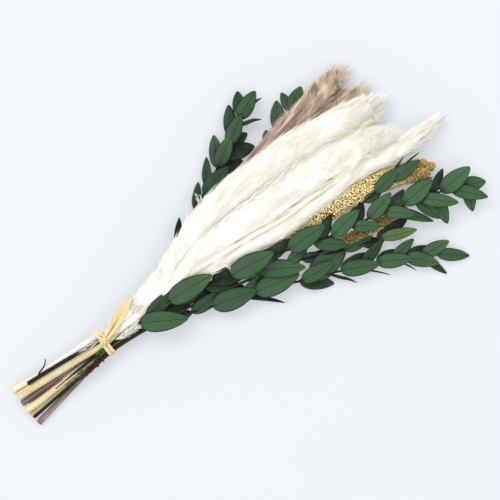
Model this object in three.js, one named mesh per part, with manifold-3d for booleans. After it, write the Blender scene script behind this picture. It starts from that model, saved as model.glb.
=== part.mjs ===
// A tied bunch of dried grasses and leafy stems, lying on its side.
// Millimetres. +X runs from the cut ends to the plume tips, +Z is up,
// and the origin is on the surface under the middle of the raffia band.
import * as THREE from 'three';
import Module from 'manifold-3d';

const wasm = await Module();
wasm.setup();

// Driving dimensions
const clearGap = 0.35; // left between one piece and the next
const cutEndX = -94; // where the longest stems are cut off
const cutFlare = 1.5; // how fast a bare stem thickens from the tie to its cut end
const plumeStartX = 26; // where the white plumes leave their bare stems
const bandWidth = 6.6; // raffia band, measured along the bunch
const bandThick = 1.1;
const bandSlack = 0.35; // between the stems and the inside of the band
const bandFaces = 16;
const stripThick = 0.9; // the band's free ends
const stripFold = 0.18; // rise of a strip's edges, per unit of its half width
const bladeThick = 0.75; // a leaf
const leafSag = 0.16; // droop of a leaf's tip, per unit of length
const leafPerch = 0.36; // height that a leaf's bent foot gains, per degree of its slope
const leafFoot = 0.15; // share of a leaf's length that is its bent foot
const groundZ = 0.45; // lowest middle surface of a leaf that rests on the table
const stackStep = 0.85; // between leaves that rest on each other near the table
const stemSides = 7;
const stemStep = 20; // between the rings of a bare stem
const sprigSides = 5;
const coreReach = 0.8; // a plume's core, as a share of its outline
const coreSides = 6;
const lockSpread = 0.48; // half the angle that the root of a lock takes up round its plume
const lockDepth = 1.2; // least height of a lock

const white = { color: 0xf3efe2, roughness: 0.95, metalness: 0 };
const cream = { color: 0xe6d3a0, roughness: 0.8, metalness: 0 };
const taupe = { color: 0xa88a7c, roughness: 0.95, metalness: 0 };
const mauve = { color: 0x7d6a70, roughness: 0.8, metalness: 0 };
const gold = { color: 0xd8b564, roughness: 0.9, metalness: 0 };
const brown = { color: 0x5a3f2a, roughness: 0.85, metalness: 0 };
const green = { color: 0x2f5a3c, roughness: 0.75, metalness: 0 };
const straw = { color: 0xe2c88e, roughness: 0.8, metalness: 0 };

const upward = new THREE.Vector3(0, 0, 1);

// Solids from plain lists of points and triangles
function solidFrom(points, triangles) {
  const vertProperties = new Float32Array(points.flatMap((p) => [p.x, p.y, p.z]));
  const triVerts = new Uint32Array(triangles.flat());
  return new wasm.Manifold(new wasm.Mesh({ numProp: 3, vertProperties, triVerts }));
}

// A skin over equal rings of points, each ring seen turning the same way, with flat ends
function loft(rings) {
  const sides = rings[0].length;
  const points = rings.flat();
  const triangles = [];
  for (let i = 0; i + 1 < rings.length; i += 1) {
    for (let j = 0; j < sides; j += 1) {
      const a = i * sides + j;
      const b = i * sides + ((j + 1) % sides);
      triangles.push([a, b, b + sides], [a, b + sides, a + sides]);
    }
  }
  const last = (rings.length - 1) * sides;
  for (let j = 1; j + 1 < sides; j += 1) {
    triangles.push([0, j + 1, j], [last, last + j, last + j + 1]);
  }
  return solidFrom(points, triangles);
}

function join(solids) {
  return wasm.Manifold.union(solids);
}

// The main body that is left once every cutter is taken away
function carve(solid, cutters) {
  const bodies = solid.subtract(join(cutters)).decompose();
  return bodies.reduce((best, body) => (body.volume() > best.volume() ? body : best));
}

function seeded(seed) {
  let state = seed;
  return () => {
    state = (state * 1664525 + 1013904223) % 4294967296;
    return state / 4294967296;
  };
}

function routeOf(points) {
  return new THREE.CatmullRomCurve3(points.map(([x, y, z]) => new THREE.Vector3(x, y, z)));
}

// Level side direction and the direction square to it, for a route's tangent
function frameAt(tangent) {
  const side = new THREE.Vector3().crossVectors(upward, tangent).normalize();
  const top = new THREE.Vector3().crossVectors(tangent, side).normalize();
  return { side, top };
}

function offset(origin, side, top, across, above) {
  return origin.clone().addScaledVector(side, across).addScaledVector(top, above);
}

// The place on a route at a given distance along the bunch, found by halving
function pointAtX(route, x) {
  let low = 0;
  let high = 1;
  for (let step = 0; step < 30; step += 1) {
    const middle = (low + high) / 2;
    if (route.getPoint(middle).x < x) {
      low = middle;
    } else {
      high = middle;
    }
  }
  return route.getPoint(low);
}

// A stem: a round rod along a route, with a rule for its radius
function rod(route, radiusAt, steps, sides, grow = 0) {
  const rings = [];
  for (let i = 0; i <= steps; i += 1) {
    const t = i / steps;
    const tangent = route.getTangent(t);
    const place = route.getPoint(t);
    if (i === 0) {
      place.addScaledVector(tangent, -grow);
    } else if (i === steps) {
      place.addScaledVector(tangent, grow);
    }
    const { side, top } = frameAt(tangent);
    const radius = radiusAt(t, place.x) + grow;
    const ring = [];
    for (let j = 0; j < sides; j += 1) {
      const angle = (2 * Math.PI * (j + 0.5)) / sides;
      ring.push(offset(place, side, top, radius * Math.cos(angle), radius * Math.sin(angle)));
    }
    rings.push(ring);
  }
  return loft(rings);
}

// A blade over a grid of middle points, thickened both ways along one direction,
// with both faces split along the same diagonals
function slab(rows, thick, direction) {
  const columns = rows[0].length;
  const middle = rows.flat();
  const shifted = (distance) => middle.map((p) => p.clone().addScaledVector(direction, distance));
  const points = [...shifted(thick / 2), ...shifted(-thick / 2)];
  const under = middle.length;
  const triangles = [];
  for (let i = 0; i + 1 < rows.length; i += 1) {
    for (let j = 0; j + 1 < columns; j += 1) {
      const a = i * columns + j;
      const [b, c, d] = [a + 1, a + columns + 1, a + columns];
      triangles.push([a, d, c], [a, c, b]);
      triangles.push([under + a, under + c, under + d], [under + a, under + b, under + c]);
    }
  }
  const acrossEdge = [...Array(columns - 1).keys()];
  const alongEdge = [...Array(rows.length - 1).keys()];
  const rim = [
    ...acrossEdge,
    ...alongEdge.map((i) => i * columns + columns - 1),
    ...acrossEdge.map((j) => middle.length - 1 - j),
    ...alongEdge.map((i) => (rows.length - 1 - i) * columns),
  ];
  rim.forEach((a, k) => {
    const b = rim[(k + 1) % rim.length];
    triangles.push([a, b, under + b], [a, under + b, under + a]);
  });
  const solid = solidFrom(points, triangles);
  if (solid.volume() > 0) {
    return solid;
  }
  return solidFrom(points, triangles.map(([a, b, c]) => [a, c, b]));
}

// Leaf outline: share of the length against share of the half width
const leafOutline = [[-0.04, 0.13], [0.2, 0.84], [0.62, 0.9], [1, 0.07]];

// A lanceolate leaf from its foot on the stem, with a drooping tip.
// Bearing is its direction seen from above, lift its slope, and roll turns it on edge.
function leaf(foot, { bearing, length, width, lift, roll, floor }, grow = 0) {
  const yaw = THREE.MathUtils.degToRad(bearing);
  const slope = THREE.MathUtils.degToRad(lift);
  const lean = THREE.MathUtils.degToRad(roll);
  const along = new THREE.Vector3(Math.cos(yaw), Math.sin(yaw), 0);
  const across = new THREE.Vector3(-Math.sin(yaw), Math.cos(yaw), 0);
  const forward = along.clone().multiplyScalar(Math.cos(slope));
  forward.z = Math.sin(slope);
  const face = new THREE.Vector3().crossVectors(forward, across);
  const wide = across.clone().multiplyScalar(Math.cos(lean)).addScaledVector(face, Math.sin(lean));
  const square = new THREE.Vector3().crossVectors(forward, wide);
  const rows = leafOutline.map(([share, half]) => {
    const stretch = share + (grow / length) * (share > 0.5 ? 1 : -1);
    const reach = (width / 2) * half + grow;
    const middle = foot.clone().addScaledVector(forward, stretch * length);
    middle.addScaledVector(square, -leafSag * length * share * share);
    middle.z += leafPerch * lift * Math.min(1, Math.max(0, share) / leafFoot);
    return [-1, 1].map((u) => {
      const point = middle.clone().addScaledVector(wide, u * reach);
      point.z = Math.max(point.z, floor);
      return point;
    });
  });
  return slab(rows, bladeThick + 2 * grow, square);
}

// One spray: its stem, thinner towards its far end, with every leaf rooted in it
function spray(stem, leaves, grow = 0) {
  const route = routeOf(stem.route);
  const radiusAt = (t) => stem.startRadius + (stem.endRadius - stem.startRadius) * t;
  const solids = [rod(route, radiusAt, stem.steps, sprigSides, grow)];
  leaves.forEach(([x, bearing, length, width, lift, roll], k) => {
    const foot = pointAtX(route, x);
    const floor = groundZ + stackStep * (k % 3);
    solids.push(leaf(foot, { bearing, length, width, lift, roll, floor }, grow));
  });
  return solids;
}

// Plume: the middle line with the half width and half height of its outline.
// Each station is [x, y, z, half width, half height].
function plumeShape(stations) {
  const line = routeOf(stations.map(([x, y, z]) => [x, y, z]));
  const size = routeOf(stations.map(([x, , , halfWidth, halfHeight]) => [x, halfWidth, halfHeight]));
  const length = line.getLength();
  return (t, angle, reach) => {
    const held = Math.min(t, 1);
    const tangent = line.getTangent(held);
    const place = line.getPoint(held).addScaledVector(tangent, (t - held) * length);
    const { side, top } = frameAt(tangent);
    const half = size.getPoint(held);
    const across = half.y * reach * Math.cos(angle);
    const above = half.z * reach * Math.sin(angle);
    return { point: offset(place, side, top, across, above), least: Math.min(half.y, half.z) };
  };
}

// The slim core that the locks stand out of
function plumeCore(shape) {
  const shares = [0, 0.08, 0.18, 0.32, 0.48, 0.64, 0.8, 0.92, 1];
  const rings = shares.map((t) => {
    const reach = coreReach + (1 - coreReach) * Math.max(0, 1 - t / 0.16);
    const ring = [];
    for (let j = 0; j < coreSides; j += 1) {
      ring.push(shape(t, (2 * Math.PI * j) / coreSides, reach).point);
    }
    return ring;
  });
  return loft(rings);
}

// One lock of hair: a three-sided tapered strip that leaves the core and ends in a point
// on the outline. Each stop is [share of its span, reach, breadth].
function lock(shape, start, span, angle) {
  const stops = [[0, 0.72, 0.7], [0.5, 0.97, 1], [1, 0.97, 0.05]];
  const rings = stops.map(([share, reach, breadth]) => {
    const t = start + span * share;
    const { point: ridge, least } = shape(t, angle, reach);
    const depth = Math.max(0.24, lockDepth / least) * (share === 1 ? 0.15 : 1);
    const right = shape(t, angle - lockSpread * breadth, reach - depth).point;
    const left = shape(t, angle + lockSpread * breadth, reach - depth).point;
    return [right, ridge, left];
  });
  return loft(rings);
}

// A plume: its locks start one after another along it, turned by the golden angle
function plume(stations, lockCount, lockSpan, seed) {
  const shape = plumeShape(stations);
  const random = seeded(seed);
  const goldenAngle = Math.PI * (3 - Math.sqrt(5));
  const solids = [plumeCore(shape)];
  for (let i = 0; i < lockCount; i += 1) {
    const start = 0.01 + (0.95 * (i + 0.5 * random())) / lockCount;
    const angle = i * goldenAngle + 0.3 * random();
    const span = lockSpan * (0.85 + 0.3 * random()) * (start > 0.8 ? 0.55 : 1);
    solids.push(lock(shape, start, span, angle));
  }
  return join(solids);
}

// A seed head: a rounded spindle whose skin is a net of grains in relief
function seedHead(route, radius, rows, sides, grain) {
  const rings = [];
  for (let i = 0; i <= rows; i += 1) {
    const t = i / rows;
    const tangent = route.getTangent(t);
    const place = route.getPoint(t);
    const { side, top } = frameAt(tangent);
    const tip = Math.max(0, (t - 0.8) / 0.2);
    const body = Math.min(1, 0.5 + 2.5 * t) * Math.sqrt(Math.max(0.06, 1 - tip ** 2));
    const ring = [];
    for (let j = 0; j < sides; j += 1) {
      const angle = (2 * Math.PI * j) / sides;
      const bump = (i + j) % 2 === 0 ? grain : -grain;
      const reach = radius * body + bump * Math.min(1, body * 1.4);
      ring.push(offset(place, side, top, reach * Math.cos(angle), reach * Math.sin(angle)));
    }
    rings.push(ring);
  }
  return loft(rings);
}

// Bare stems: cut end, place in the tie, and the way on to what they carry.
// The places in the tie pack the stems side by side without touching.
const bareStems = {
  white_stem_1: {
    route: [[cutEndX, 12.9, 7.5], [-45, 9, 8], [0, 5.6, 8.4], [14, 6.8, 9.1], [plumeStartX, 8.4, 9.9]],
    radius: 2.5,
    cutRadius: 3.3,
    look: cream,
  },
  white_stem_2: {
    route: [[cutEndX, -15.1, 2.9], [-45, -8.6, 3.2], [0, -2.5, 3.7], [14, -1.6, 3.9],
      [plumeStartX, -0.2, 4.3]],
    radius: 2.3,
    cutRadius: 3,
    look: cream,
  },
  white_stem_3: {
    route: [[cutEndX, -9.3, 8.5], [-45, -7.3, 8.7], [0, -5.5, 8.7], [14, -4.2, 8.7],
      [plumeStartX, -2.8, 8.8]],
    radius: 2.5,
    cutRadius: 3.2,
    look: cream,
  },
  white_stem_4: {
    route: [[cutEndX + 2, 5.6, 10], [-45, 2.7, 11.5], [0, 0, 13.1], [14, 1.3, 13.2],
      [plumeStartX, 2.8, 13.4]],
    radius: 2.7,
    cutRadius: 3.8,
    look: cream,
  },
  taupe_stem_1: {
    route: [[cutEndX, -1.6, 4.5], [-45, -1.1, 6.3], [0, -0.6, 8], [20, 3, 7.2], [40, 8, 6.2],
      [60, 13.5, 5.6], [80, 20, 4.9], [110, 31, 6.2], [146, 45, 8.4]],
    radius: 2.1,
    cutRadius: 2.9,
    look: mauve,
  },
  taupe_stem_2: {
    route: [[cutEndX + 2, -24.4, 3.2], [-45, -15.3, 3.5], [0, -7.3, 3.7], [20, -6.3, 3], [40, -3, 2.5],
      [60, 3.5, 2.4], [80, 10, 2.8], [110, 22, 3.5], [150, 36.8, 5.2]],
    radius: 2,
    cutRadius: 2.7,
    look: mauve,
  },
  millet_stem_1: {
    route: [[-38, -13.8, 7.2], [0, -9.7, 6.5], [40, -7.5, 5.5], [100, -9, 7], [160, -14, 8.5],
      [189, -15.2, 9]],
    radius: 1.2,
    cutRadius: 1.2,
    look: brown,
  },
  millet_stem_2: {
    route: [[-28, -13.2, 9.8], [0, -9.6, 9.3], [40, -11.5, 8.4], [100, -20, 8], [160, -32, 7.5],
      [212, -44.5, 7.5]],
    radius: 1.2,
    cutRadius: 1.2,
    look: brown,
  },
};

// Leafy stems. Each leaf is [x of its foot, bearing, length, width, lift, roll].
const leftSpray = {
  stem: {
    route: [[-78, 10.2, 13], [-40, 8, 13.1], [0, 4.9, 13.1], [20, 9.5, 12], [36, 14.6, 8.6], [50, 18, 6],
      [86, 29, 4.2], [111, 41, 4], [143, 56.5, 4.5], [169, 69.5, 5], [192, 82.5, 5.5], [214, 97, 6],
      [230, 107, 6]],
    startRadius: 1.9,
    endRadius: 0.8,
    steps: 15,
  },
  leaves: [
    [103, 40, 24, 9, 10, 45], [135, 46, 25, 9, 4, 20], [155, 56, 28, 9, 4, 0],
    [149, 12, 34, 15, 8, -10], [173, -17, 25, 17, -4, -10], [173, 60, 30, 13, 6, 8],
    [174, 31, 31, 14, 12, 0], [184, -15, 30, 17, -3, -10], [193, -3, 21, 12, -6, 0],
    [199, 58, 30, 13, 4, 6], [193, 31, 29, 14, 14, 0], [207, -10, 25, 9, 8, -60],
    [217, 62, 22, 12, 6, 6], [214, 22, 29, 15, 12, 0], [220, 6, 22, 7, 4, -55],
  ],
};

// A bare side twig with a hooked end, between the tie and the cut end
const leftTwig = {
  stem: {
    route: [[-67, 9.6, 13], [-63.5, 12.4, 13.6], [-58, 14.2, 14.2], [-54, 17, 14.2],
      [-52.6, 19.4, 13.6]],
    startRadius: 0.9,
    endRadius: 0.45,
    steps: 5,
  },
  leaves: [],
};

const backSpray = {
  stem: {
    route: [[-70, 4.5, 2.4], [0, 2, 2.9], [40, 10.5, 2.4], [60, 16.5, 2.2], [80, 23.5, 2.2],
      [110, 33.5, 2.3], [130, 39, 2.4], [165, 49, 3], [204, 58.5, 3.6], [232.5, 66, 4.4],
      [256, 75.2, 5.4], [270, 82, 6]],
    startRadius: 1.5,
    endRadius: 0.7,
    steps: 12,
  },
  leaves: [
    [223, 64, 13, 9, 2, 0], [237, 56, 28, 14, 4, 6], [257, 86, 19, 10, 6, 0], [257, 33, 24, 14, 6, 0],
    [262, -12, 14, 6, 0, -20],
  ],
};

// The low front stem and the branch that leaves it just past the tie
const frontSpray = {
  stem: {
    route: [[cutEndX + 2, -17.9, 7], [-45, -13, 10], [0, -8, 12.6], [34, -8.6, 12.2], [55, -13, 11.6],
      [78, -21.5, 11], [98, -28.2, 10.4], [139, -41, 9.4], [175, -54.7, 8.4], [211, -68.5, 7],
      [241, -80, 5.6], [266, -91.7, 4.4], [292, -106.5, 3.4]],
    startRadius: 1.5,
    endRadius: 0.8,
    steps: 15,
  },
  leaves: [
    [59, -24, 23, 12, -8, 0], [79, -3, 38, 13, 2, 5], [98, -15, 42, 20, 7, -4],
    [123, -35, 42, 9, -8, -60], [128, 15, 30, 12, 4, 25], [126, 2, 40, 15, -8, 0],
    [137, -11, 43, 20, 8, -4], [177, -6, 33, 14, 9, 4], [175, -40, 33, 14, -6, -10],
    [185, 9, 46, 23, 3, 8], [199, -42, 29, 8, -7, -68], [211, -24, 36, 15, 9, 0],
    [211, 0, 29, 12, 0, 10], [229, 13, 32, 11, 5, 18], [217, -34, 40, 6, -6, -72],
    [242, -31, 33, 14, 8, 0], [242, -5, 22, 11, 0, 8], [255, 8, 27, 11, 6, 14],
    [256.5, -54, 24, 5, -6, -70], [266, -44, 31, 14, 7, -4], [266, -8, 23, 10, 0, 8],
    [279, -9, 28, 13, 7, 6], [291, -37, 30, 12, 4, 0], [278, -66, 30, 9, -3, -30],
  ],
};
const frontBranch = {
  stem: {
    route: [[30, -8.3, 12.4], [46, -4.4, 13.2], [82, -8, 13.4], [122, -14, 13.4], [152, -26, 12.4],
      [186, -39, 10.6], [225, -55, 9], [259, -65, 8]],
    startRadius: 1.3,
    endRadius: 0.8,
    steps: 9,
  },
  leaves: [
    [60, -16, 30, 14, -7, 0], [76, -12, 36, 14, -6, 0], [103, -31, 36, 14, -5, -10],
    [110, 4, 24, 13, -4, 0], [113, 14, 29, 12, -2, 10], [112, -14, 36, 15, -7, 0],
    [150, -28, 43, 17, 6, -4], [178, 10, 22, 12, 2, 10], [176, 8, 22, 10, 10, 0],
    [188, -22, 20, 10, 0, 0], [224, -12, 30, 11, 2, 10], [240, -24, 22, 10, -4, 0],
    [258, -25, 33, 12, 8, 24], [254, -4, 34, 13, 2, 10],
  ],
};

// The upper front stem, over the seed heads, and its branch
const topSpray = {
  stem: {
    route: [[-60, -8, 15.6], [-30, -5.6, 14.4], [0, -4.4, 13.5], [20, -4.4, 15], [40, -2.4, 16.8],
      [60, -0.8, 18.6], [112, -12.3, 20], [156, -20, 20.4], [183, -25.6, 20.4],
      [222, -37.5, 19.6], [256, -43.5, 18.4], [292, -51, 16.2], [325, -61.4, 12.6], [349, -70, 9]],
    startRadius: 1.4,
    endRadius: 0.8,
    steps: 16,
  },
  leaves: [
    [36, -31, 44, 19, 9, -6], [44, 8, 41, 13, 6, 10], [69, -2, 45, 20, 7, -6], [128, -5, 43, 20, 8, -5],
    [158, -2, 33, 14, 0, 25], [183, 0, 39, 18, 10, -4], [210, 27, 26, 12, 4, 25],
    [205, -41, 31, 14, 0, -8], [222, 9, 33, 15, 10, 0], [241, -32, 26, 11, 9, 0],
    [246, 38, 22, 10, -2, 10], [257, 11, 31, 14, 10, 0], [272, -36, 28, 12, 9, -4],
    [274, 14, 26, 9, 4, 10], [277, -5, 18, 8, 4, 0], [277, -47, 43, 10, 0, -8], [291, 3, 33, 17, 11, 0],
    [303, -73, 28, 13, 2, 0], [306, -42, 35, 13, 10, 0], [316, 27, 26, 10, 5, 20],
    [320, -104, 30, 13, 2, 0], [325, 6, 34, 17, 12, 0], [334, -48, 34, 13, 10, 0],
    [344, -22, 22, 14, 6, 0], [348, -112, 25, 12, 3, 0],
  ],
};
const topBranch = {
  stem: {
    route: [[222, -37.5, 19.6], [236, -36, 20.4], [253, -31, 21], [275, -28, 20.8], [304, -25, 19]],
    startRadius: 1.1,
    endRadius: 0.7,
    steps: 5,
  },
  leaves: [
    [243, 12, 18, 9, 0, 20], [263, -5, 19, 9, 0, 0], [276, 11, 30, 13, 9, 6], [292, -6, 33, 13, 9, 6],
    [294.5, 34, 23, 6, 5, -70], [301, 17, 28, 6, 6, -72],
  ],
};

// Plume outlines, from the bare stem to just short of the tip
const whitePlumes = [
  [[plumeStartX + 0.4, 8.4, 9.9, 2.6, 2.6], [60, 17.5, 14.8, 6.4, 4], [80, 25, 17.4, 8.4, 4.8],
    [110, 34.8, 21, 9.2, 6.2], [150, 43.5, 23, 12, 7], [190, 45.5, 23.2, 13, 7.4],
    [235, 46, 23.2, 13.4, 7.6], [280, 43, 21.4, 12, 7.2], [308, 40.6, 16.4, 8.6, 5.6],
    [326, 38.6, 12, 4.2, 3.2]],
  [[plumeStartX + 0.4, -0.2, 4.3, 2.4, 2.4], [60, 8.5, 6.2, 2.6, 2.6], [80, 15.5, 9.8, 3.6, 3.2],
    [110, 23, 11.4, 6.6, 5.4], [150, 30, 11.8, 9.4, 6], [190, 31, 11.2, 10.2, 6.2],
    [235, 31.8, 11, 10.6, 6.2], [275, 30.4, 10.6, 9.8, 6], [304, 29.8, 9.6, 7.6, 5],
    [320, 29.8, 8.6, 4.2, 3.2]],
  [[plumeStartX + 0.4, -2.8, 8.8, 2.6, 2.6], [60, 1.5, 9.8, 3.4, 3], [80, 3, 10.8, 4.6, 3.8],
    [110, 2.8, 12.4, 7, 5.4], [150, 0.4, 13, 9.8, 6.8], [190, -3.2, 13.6, 11.6, 7.4],
    [235, -1.2, 14, 11.2, 7.6], [280, -1.2, 13.6, 9.8, 7], [312, -8.2, 12, 8.2, 6],
    [340, -9, 10, 6, 4.8], [358, -7.4, 8.8, 3, 2.6]],
  [[plumeStartX + 0.4, 2.8, 13.4, 2.8, 2.8], [60, 6.6, 17, 3.6, 3.4], [80, 10.4, 19.4, 4.8, 4.4],
    [110, 16.6, 21.8, 7.4, 5.8], [150, 18.2, 24.6, 12, 7], [190, 17.4, 25.8, 13.6, 7.4],
    [235, 17.8, 25.6, 13.8, 7.4], [275, 16, 22.2, 12.8, 6.8], [298, 11.6, 18, 10, 5.8],
    [316, 7, 14.4, 4.8, 3.6]],
];
const taupePlumes = [
  [[146.4, 45, 8.4, 2.3, 2.3], [170, 49.8, 9, 4.2, 3.6], [200, 56.4, 8.8, 6.4, 4.4],
    [243, 64.2, 9.2, 8.8, 5.8], [283, 71.4, 9.4, 10.8, 6.6], [300, 74.6, 9, 10.2, 5.8],
    [311, 77, 8, 6.4, 3.6]],
  [[150.4, 36.8, 5.2, 2.2, 2.2], [172, 41.2, 5, 3.4, 3.2], [200, 45.2, 6, 4.4, 4.4],
    [243, 49.4, 7.4, 6.2, 5.4], [283, 53.4, 7.8, 8.2, 5.8], [303, 55, 7.6, 8, 5],
    [317, 54, 7, 4.2, 3]],
];

const seedHeads = [
  {
    route: [[189.5, -15.2, 9], [235, -17.6, 10.2], [271, -20, 10.4], [304, -28, 10.4], [333, -38, 10.2]],
    radius: 9.2,
    rows: 20,
    sides: 12,
    grain: 0.55,
  },
  {
    route: [[212.5, -44.5, 7.5], [240, -50.2, 7.4], [269, -54, 7.2], [300, -49, 7.4], [325, -45, 7.6]],
    radius: 4.1,
    rows: 20,
    sides: 8,
    grain: 0.45,
  },
];

// Raffia band: a flat strip drawn tight round the outermost stems. Each face touches
// the stem that reaches furthest that way, over the width of the band.
function bandOutline(distance) {
  const sprigs = [leftSpray, backSpray, frontSpray, topSpray].map(({ stem }) => stem);
  const circles = [...Object.values(bareStems), ...sprigs].flatMap((stem) => {
    const route = routeOf(stem.route);
    return [-bandWidth / 2, 0, bandWidth / 2].map((x) => {
      const { y, z } = pointAtX(route, x);
      return { y, z, radius: stem.radius || stem.startRadius };
    });
  });
  const faceAngle = (2 * Math.PI) / bandFaces;
  const reaches = [...Array(bandFaces).keys()].map((k) => {
    const [cos, sin] = [Math.cos(k * faceAngle), Math.sin(k * faceAngle)];
    return distance + Math.max(...circles.map((c) => c.y * cos + c.z * sin + c.radius));
  });
  return reaches.map((reach, k) => {
    const next = reaches[(k + 1) % bandFaces];
    const angle = k * faceAngle;
    const turn = Math.sin(faceAngle);
    return new THREE.Vector2(
      (reach * Math.sin(angle + faceAngle) - next * Math.sin(angle)) / turn,
      (next * Math.cos(angle) - reach * Math.cos(angle + faceAngle)) / turn,
    );
  });
}

function prismAcross(outline, fromX, toX) {
  const ring = (x) => outline.map((p) => new THREE.Vector3(x, p.x, Math.max(0, p.y)));
  return loft([ring(fromX), ring(toX)]);
}

// A strip of raffia along its stops, [x, y, z, half width], folded up along its edges
function strip(stops) {
  const route = routeOf(stops.map(([x, y, z]) => [x, y, z]));
  const rows = stops.map(([x, y, z, half], i) => {
    const { side } = frameAt(route.getTangent(i / (stops.length - 1)));
    return [-1, 0, 1].map((u) => {
      const point = new THREE.Vector3(x, y, z + stripFold * half * Math.abs(u));
      return point.addScaledVector(side, u * half);
    });
  });
  return slab(rows, stripThick, upward);
}

// Band, knot, the long folded tail that lies along the plumes, the short stub
// across the stems, and the loop over the knot
function raffiaTie() {
  const inner = bandOutline(bandSlack);
  const outer = bandOutline(bandSlack + bandThick);
  const half = bandWidth / 2;
  const knot = new THREE.SphereGeometry(1, 8, 6);
  knot.scale(4.4, 3.4, 2.2);
  knot.rotateZ(0.5);
  knot.translate(1.4, 2.6, 17.6);
  const tail = [[0.5, 2.4, 17.8, 1.8], [10, 5.8, 20, 3.4], [22, 11, 21.8, 4.9], [34, 16.2, 22.6, 4],
    [45.5, 20.6, 22.4, 0.5]];
  const stub = [[3.4, 1.6, 17.6, 1.8], [0.8, 7, 17.6, 2.9], [-0.6, 11.4, 16.4, 3], [-1, 14.4, 15, 2.2]];
  const loop = [[0, 2.6, 18.4, 1.3], [7, 2.8, 19.2, 1.5], [14, 6.6, 20, 1.1]];
  return join([
    prismAcross(outer, -half, half).subtract(prismAcross(inner, -half - 1, half + 1)),
    fromGeometry(knot),
    strip(tail),
    strip(stub),
    strip(loop),
  ]);
}

// A closed three.js geometry as a solid, with its shared vertices merged
function fromGeometry(geometry) {
  const position = geometry.getAttribute('position');
  const index = geometry.getIndex();
  const seen = new Map();
  const points = [];
  const idOf = (i) => {
    const p = new THREE.Vector3().fromBufferAttribute(position, i);
    const key = p.toArray().map((value) => value.toFixed(4)).join();
    if (!seen.has(key)) {
      seen.set(key, points.length);
      points.push(p);
    }
    return seen.get(key);
  };
  const triangles = [];
  for (let i = 0; i < index.count; i += 3) {
    const [a, b, c] = [0, 1, 2].map((k) => idOf(index.getX(i + k)));
    if (a !== b && b !== c && c !== a) {
      triangles.push([a, b, c]);
    }
  }
  return solidFrom(points, triangles);
}

function meshOf(name, solid, look) {
  const { vertProperties, triVerts } = solid.getMesh();
  const geometry = new THREE.BufferGeometry();
  geometry.setAttribute('position', new THREE.BufferAttribute(new Float32Array(vertProperties), 3));
  geometry.setIndex(new THREE.BufferAttribute(new Uint32Array(triVerts), 1));
  geometry.computeVertexNormals();
  const mesh = new THREE.Mesh(geometry, new THREE.MeshStandardMaterial(look));
  mesh.name = name;
  return mesh;
}

const bouquet = new THREE.Group();

// Bare stems come first and keep their full round
const stemCutters = [];
Object.entries(bareStems).forEach(([name, { route: points, radius, cutRadius, look }]) => {
  const route = routeOf(points);
  const steps = Math.round(route.getLength() / stemStep);
  const radiusAt = (t, x) => radius + (cutRadius - radius) * Math.max(0, x / cutEndX) ** cutFlare;
  bouquet.add(meshOf(name, rod(route, radiusAt, steps, stemSides), look));
  stemCutters.push(rod(route, radiusAt, steps, stemSides, clearGap));
});

// Leafy sprays, the top one first: each keeps clear of those before it
const sprayOrder = [
  ['leafy_stem_1', [topSpray, topBranch]],
  ['leafy_stem_2', [frontSpray, frontBranch]],
  ['leafy_stem_3', [leftSpray, leftTwig]],
  ['leafy_stem_4', [backSpray]],
];
const sprayCutters = [...stemCutters];
sprayOrder.forEach(([name, parts]) => {
  const solid = join(parts.flatMap(({ stem, leaves }) => spray(stem, leaves)));
  bouquet.add(meshOf(name, carve(solid, sprayCutters), green));
  sprayCutters.push(...parts.flatMap(({ stem, leaves }) => spray(stem, leaves, clearGap)));
});

// The tie holds the stems and stands clear of them
bouquet.add(meshOf('raffia_tie', carve(raffiaTie(), sprayCutters), straw));

// Seed heads
const headCutters = [];
seedHeads.forEach(({ route, radius, rows, sides, grain }, i) => {
  const line = routeOf(route);
  const solid = seedHead(line, radius, rows, sides, grain);
  bouquet.add(meshOf(`millet_head_${i + 1}`, carve(solid, sprayCutters), gold));
  headCutters.push(rod(line, () => radius + 1.5 * grain, 12, 12, clearGap));
});

// Plumes
const plumeCutters = [...sprayCutters, ...headCutters];
const plumeKinds = [
  { name: 'white_plume', outlines: whitePlumes, lockCount: 20, lockSpan: 0.17, look: white, seed: 11 },
  { name: 'taupe_plume', outlines: taupePlumes, lockCount: 16, lockSpan: 0.22, look: taupe, seed: 31 },
];
plumeKinds.forEach(({ name, outlines, lockCount, lockSpan, look, seed }) => {
  outlines.forEach((stations, i) => {
    const solid = plume(stations, lockCount, lockSpan, seed + i);
    bouquet.add(meshOf(`${name}_${i + 1}`, carve(solid, plumeCutters), look));
  });
});

export default bouquet;
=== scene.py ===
import math

import bpy
import numpy as np
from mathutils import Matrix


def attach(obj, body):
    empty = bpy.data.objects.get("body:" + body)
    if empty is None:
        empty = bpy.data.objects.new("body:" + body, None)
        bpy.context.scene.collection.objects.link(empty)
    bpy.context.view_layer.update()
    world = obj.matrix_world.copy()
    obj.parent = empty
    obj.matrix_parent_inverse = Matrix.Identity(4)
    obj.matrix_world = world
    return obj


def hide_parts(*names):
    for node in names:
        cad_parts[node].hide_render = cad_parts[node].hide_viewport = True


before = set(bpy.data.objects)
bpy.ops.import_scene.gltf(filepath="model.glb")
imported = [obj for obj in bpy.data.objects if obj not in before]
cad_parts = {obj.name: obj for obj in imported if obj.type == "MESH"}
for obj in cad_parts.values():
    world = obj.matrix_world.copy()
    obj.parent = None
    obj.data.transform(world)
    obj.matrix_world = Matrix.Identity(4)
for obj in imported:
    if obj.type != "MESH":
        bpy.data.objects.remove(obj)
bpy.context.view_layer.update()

# All sizes below are in millimetres; meshes are written in metres.
# +X runs from the cut ends to the plume tips, +Z is up, the origin is under the raffia band.
mm = 0.001
up = np.array([0.0, 0.0, 1.0])
goldenAngle = math.pi * (3 - math.sqrt(5))


# Camera, floor and light

view = {
    "aim": (154.5, -6.0, 12.0),  # middle of the picture
    "width": 450.0,              # of the picture at the aim's height
    "turn": -35.0,               # degrees, so that the bunch runs up to the right
    "lens": 110.0,
    "sensor": 36.0,
}

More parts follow.
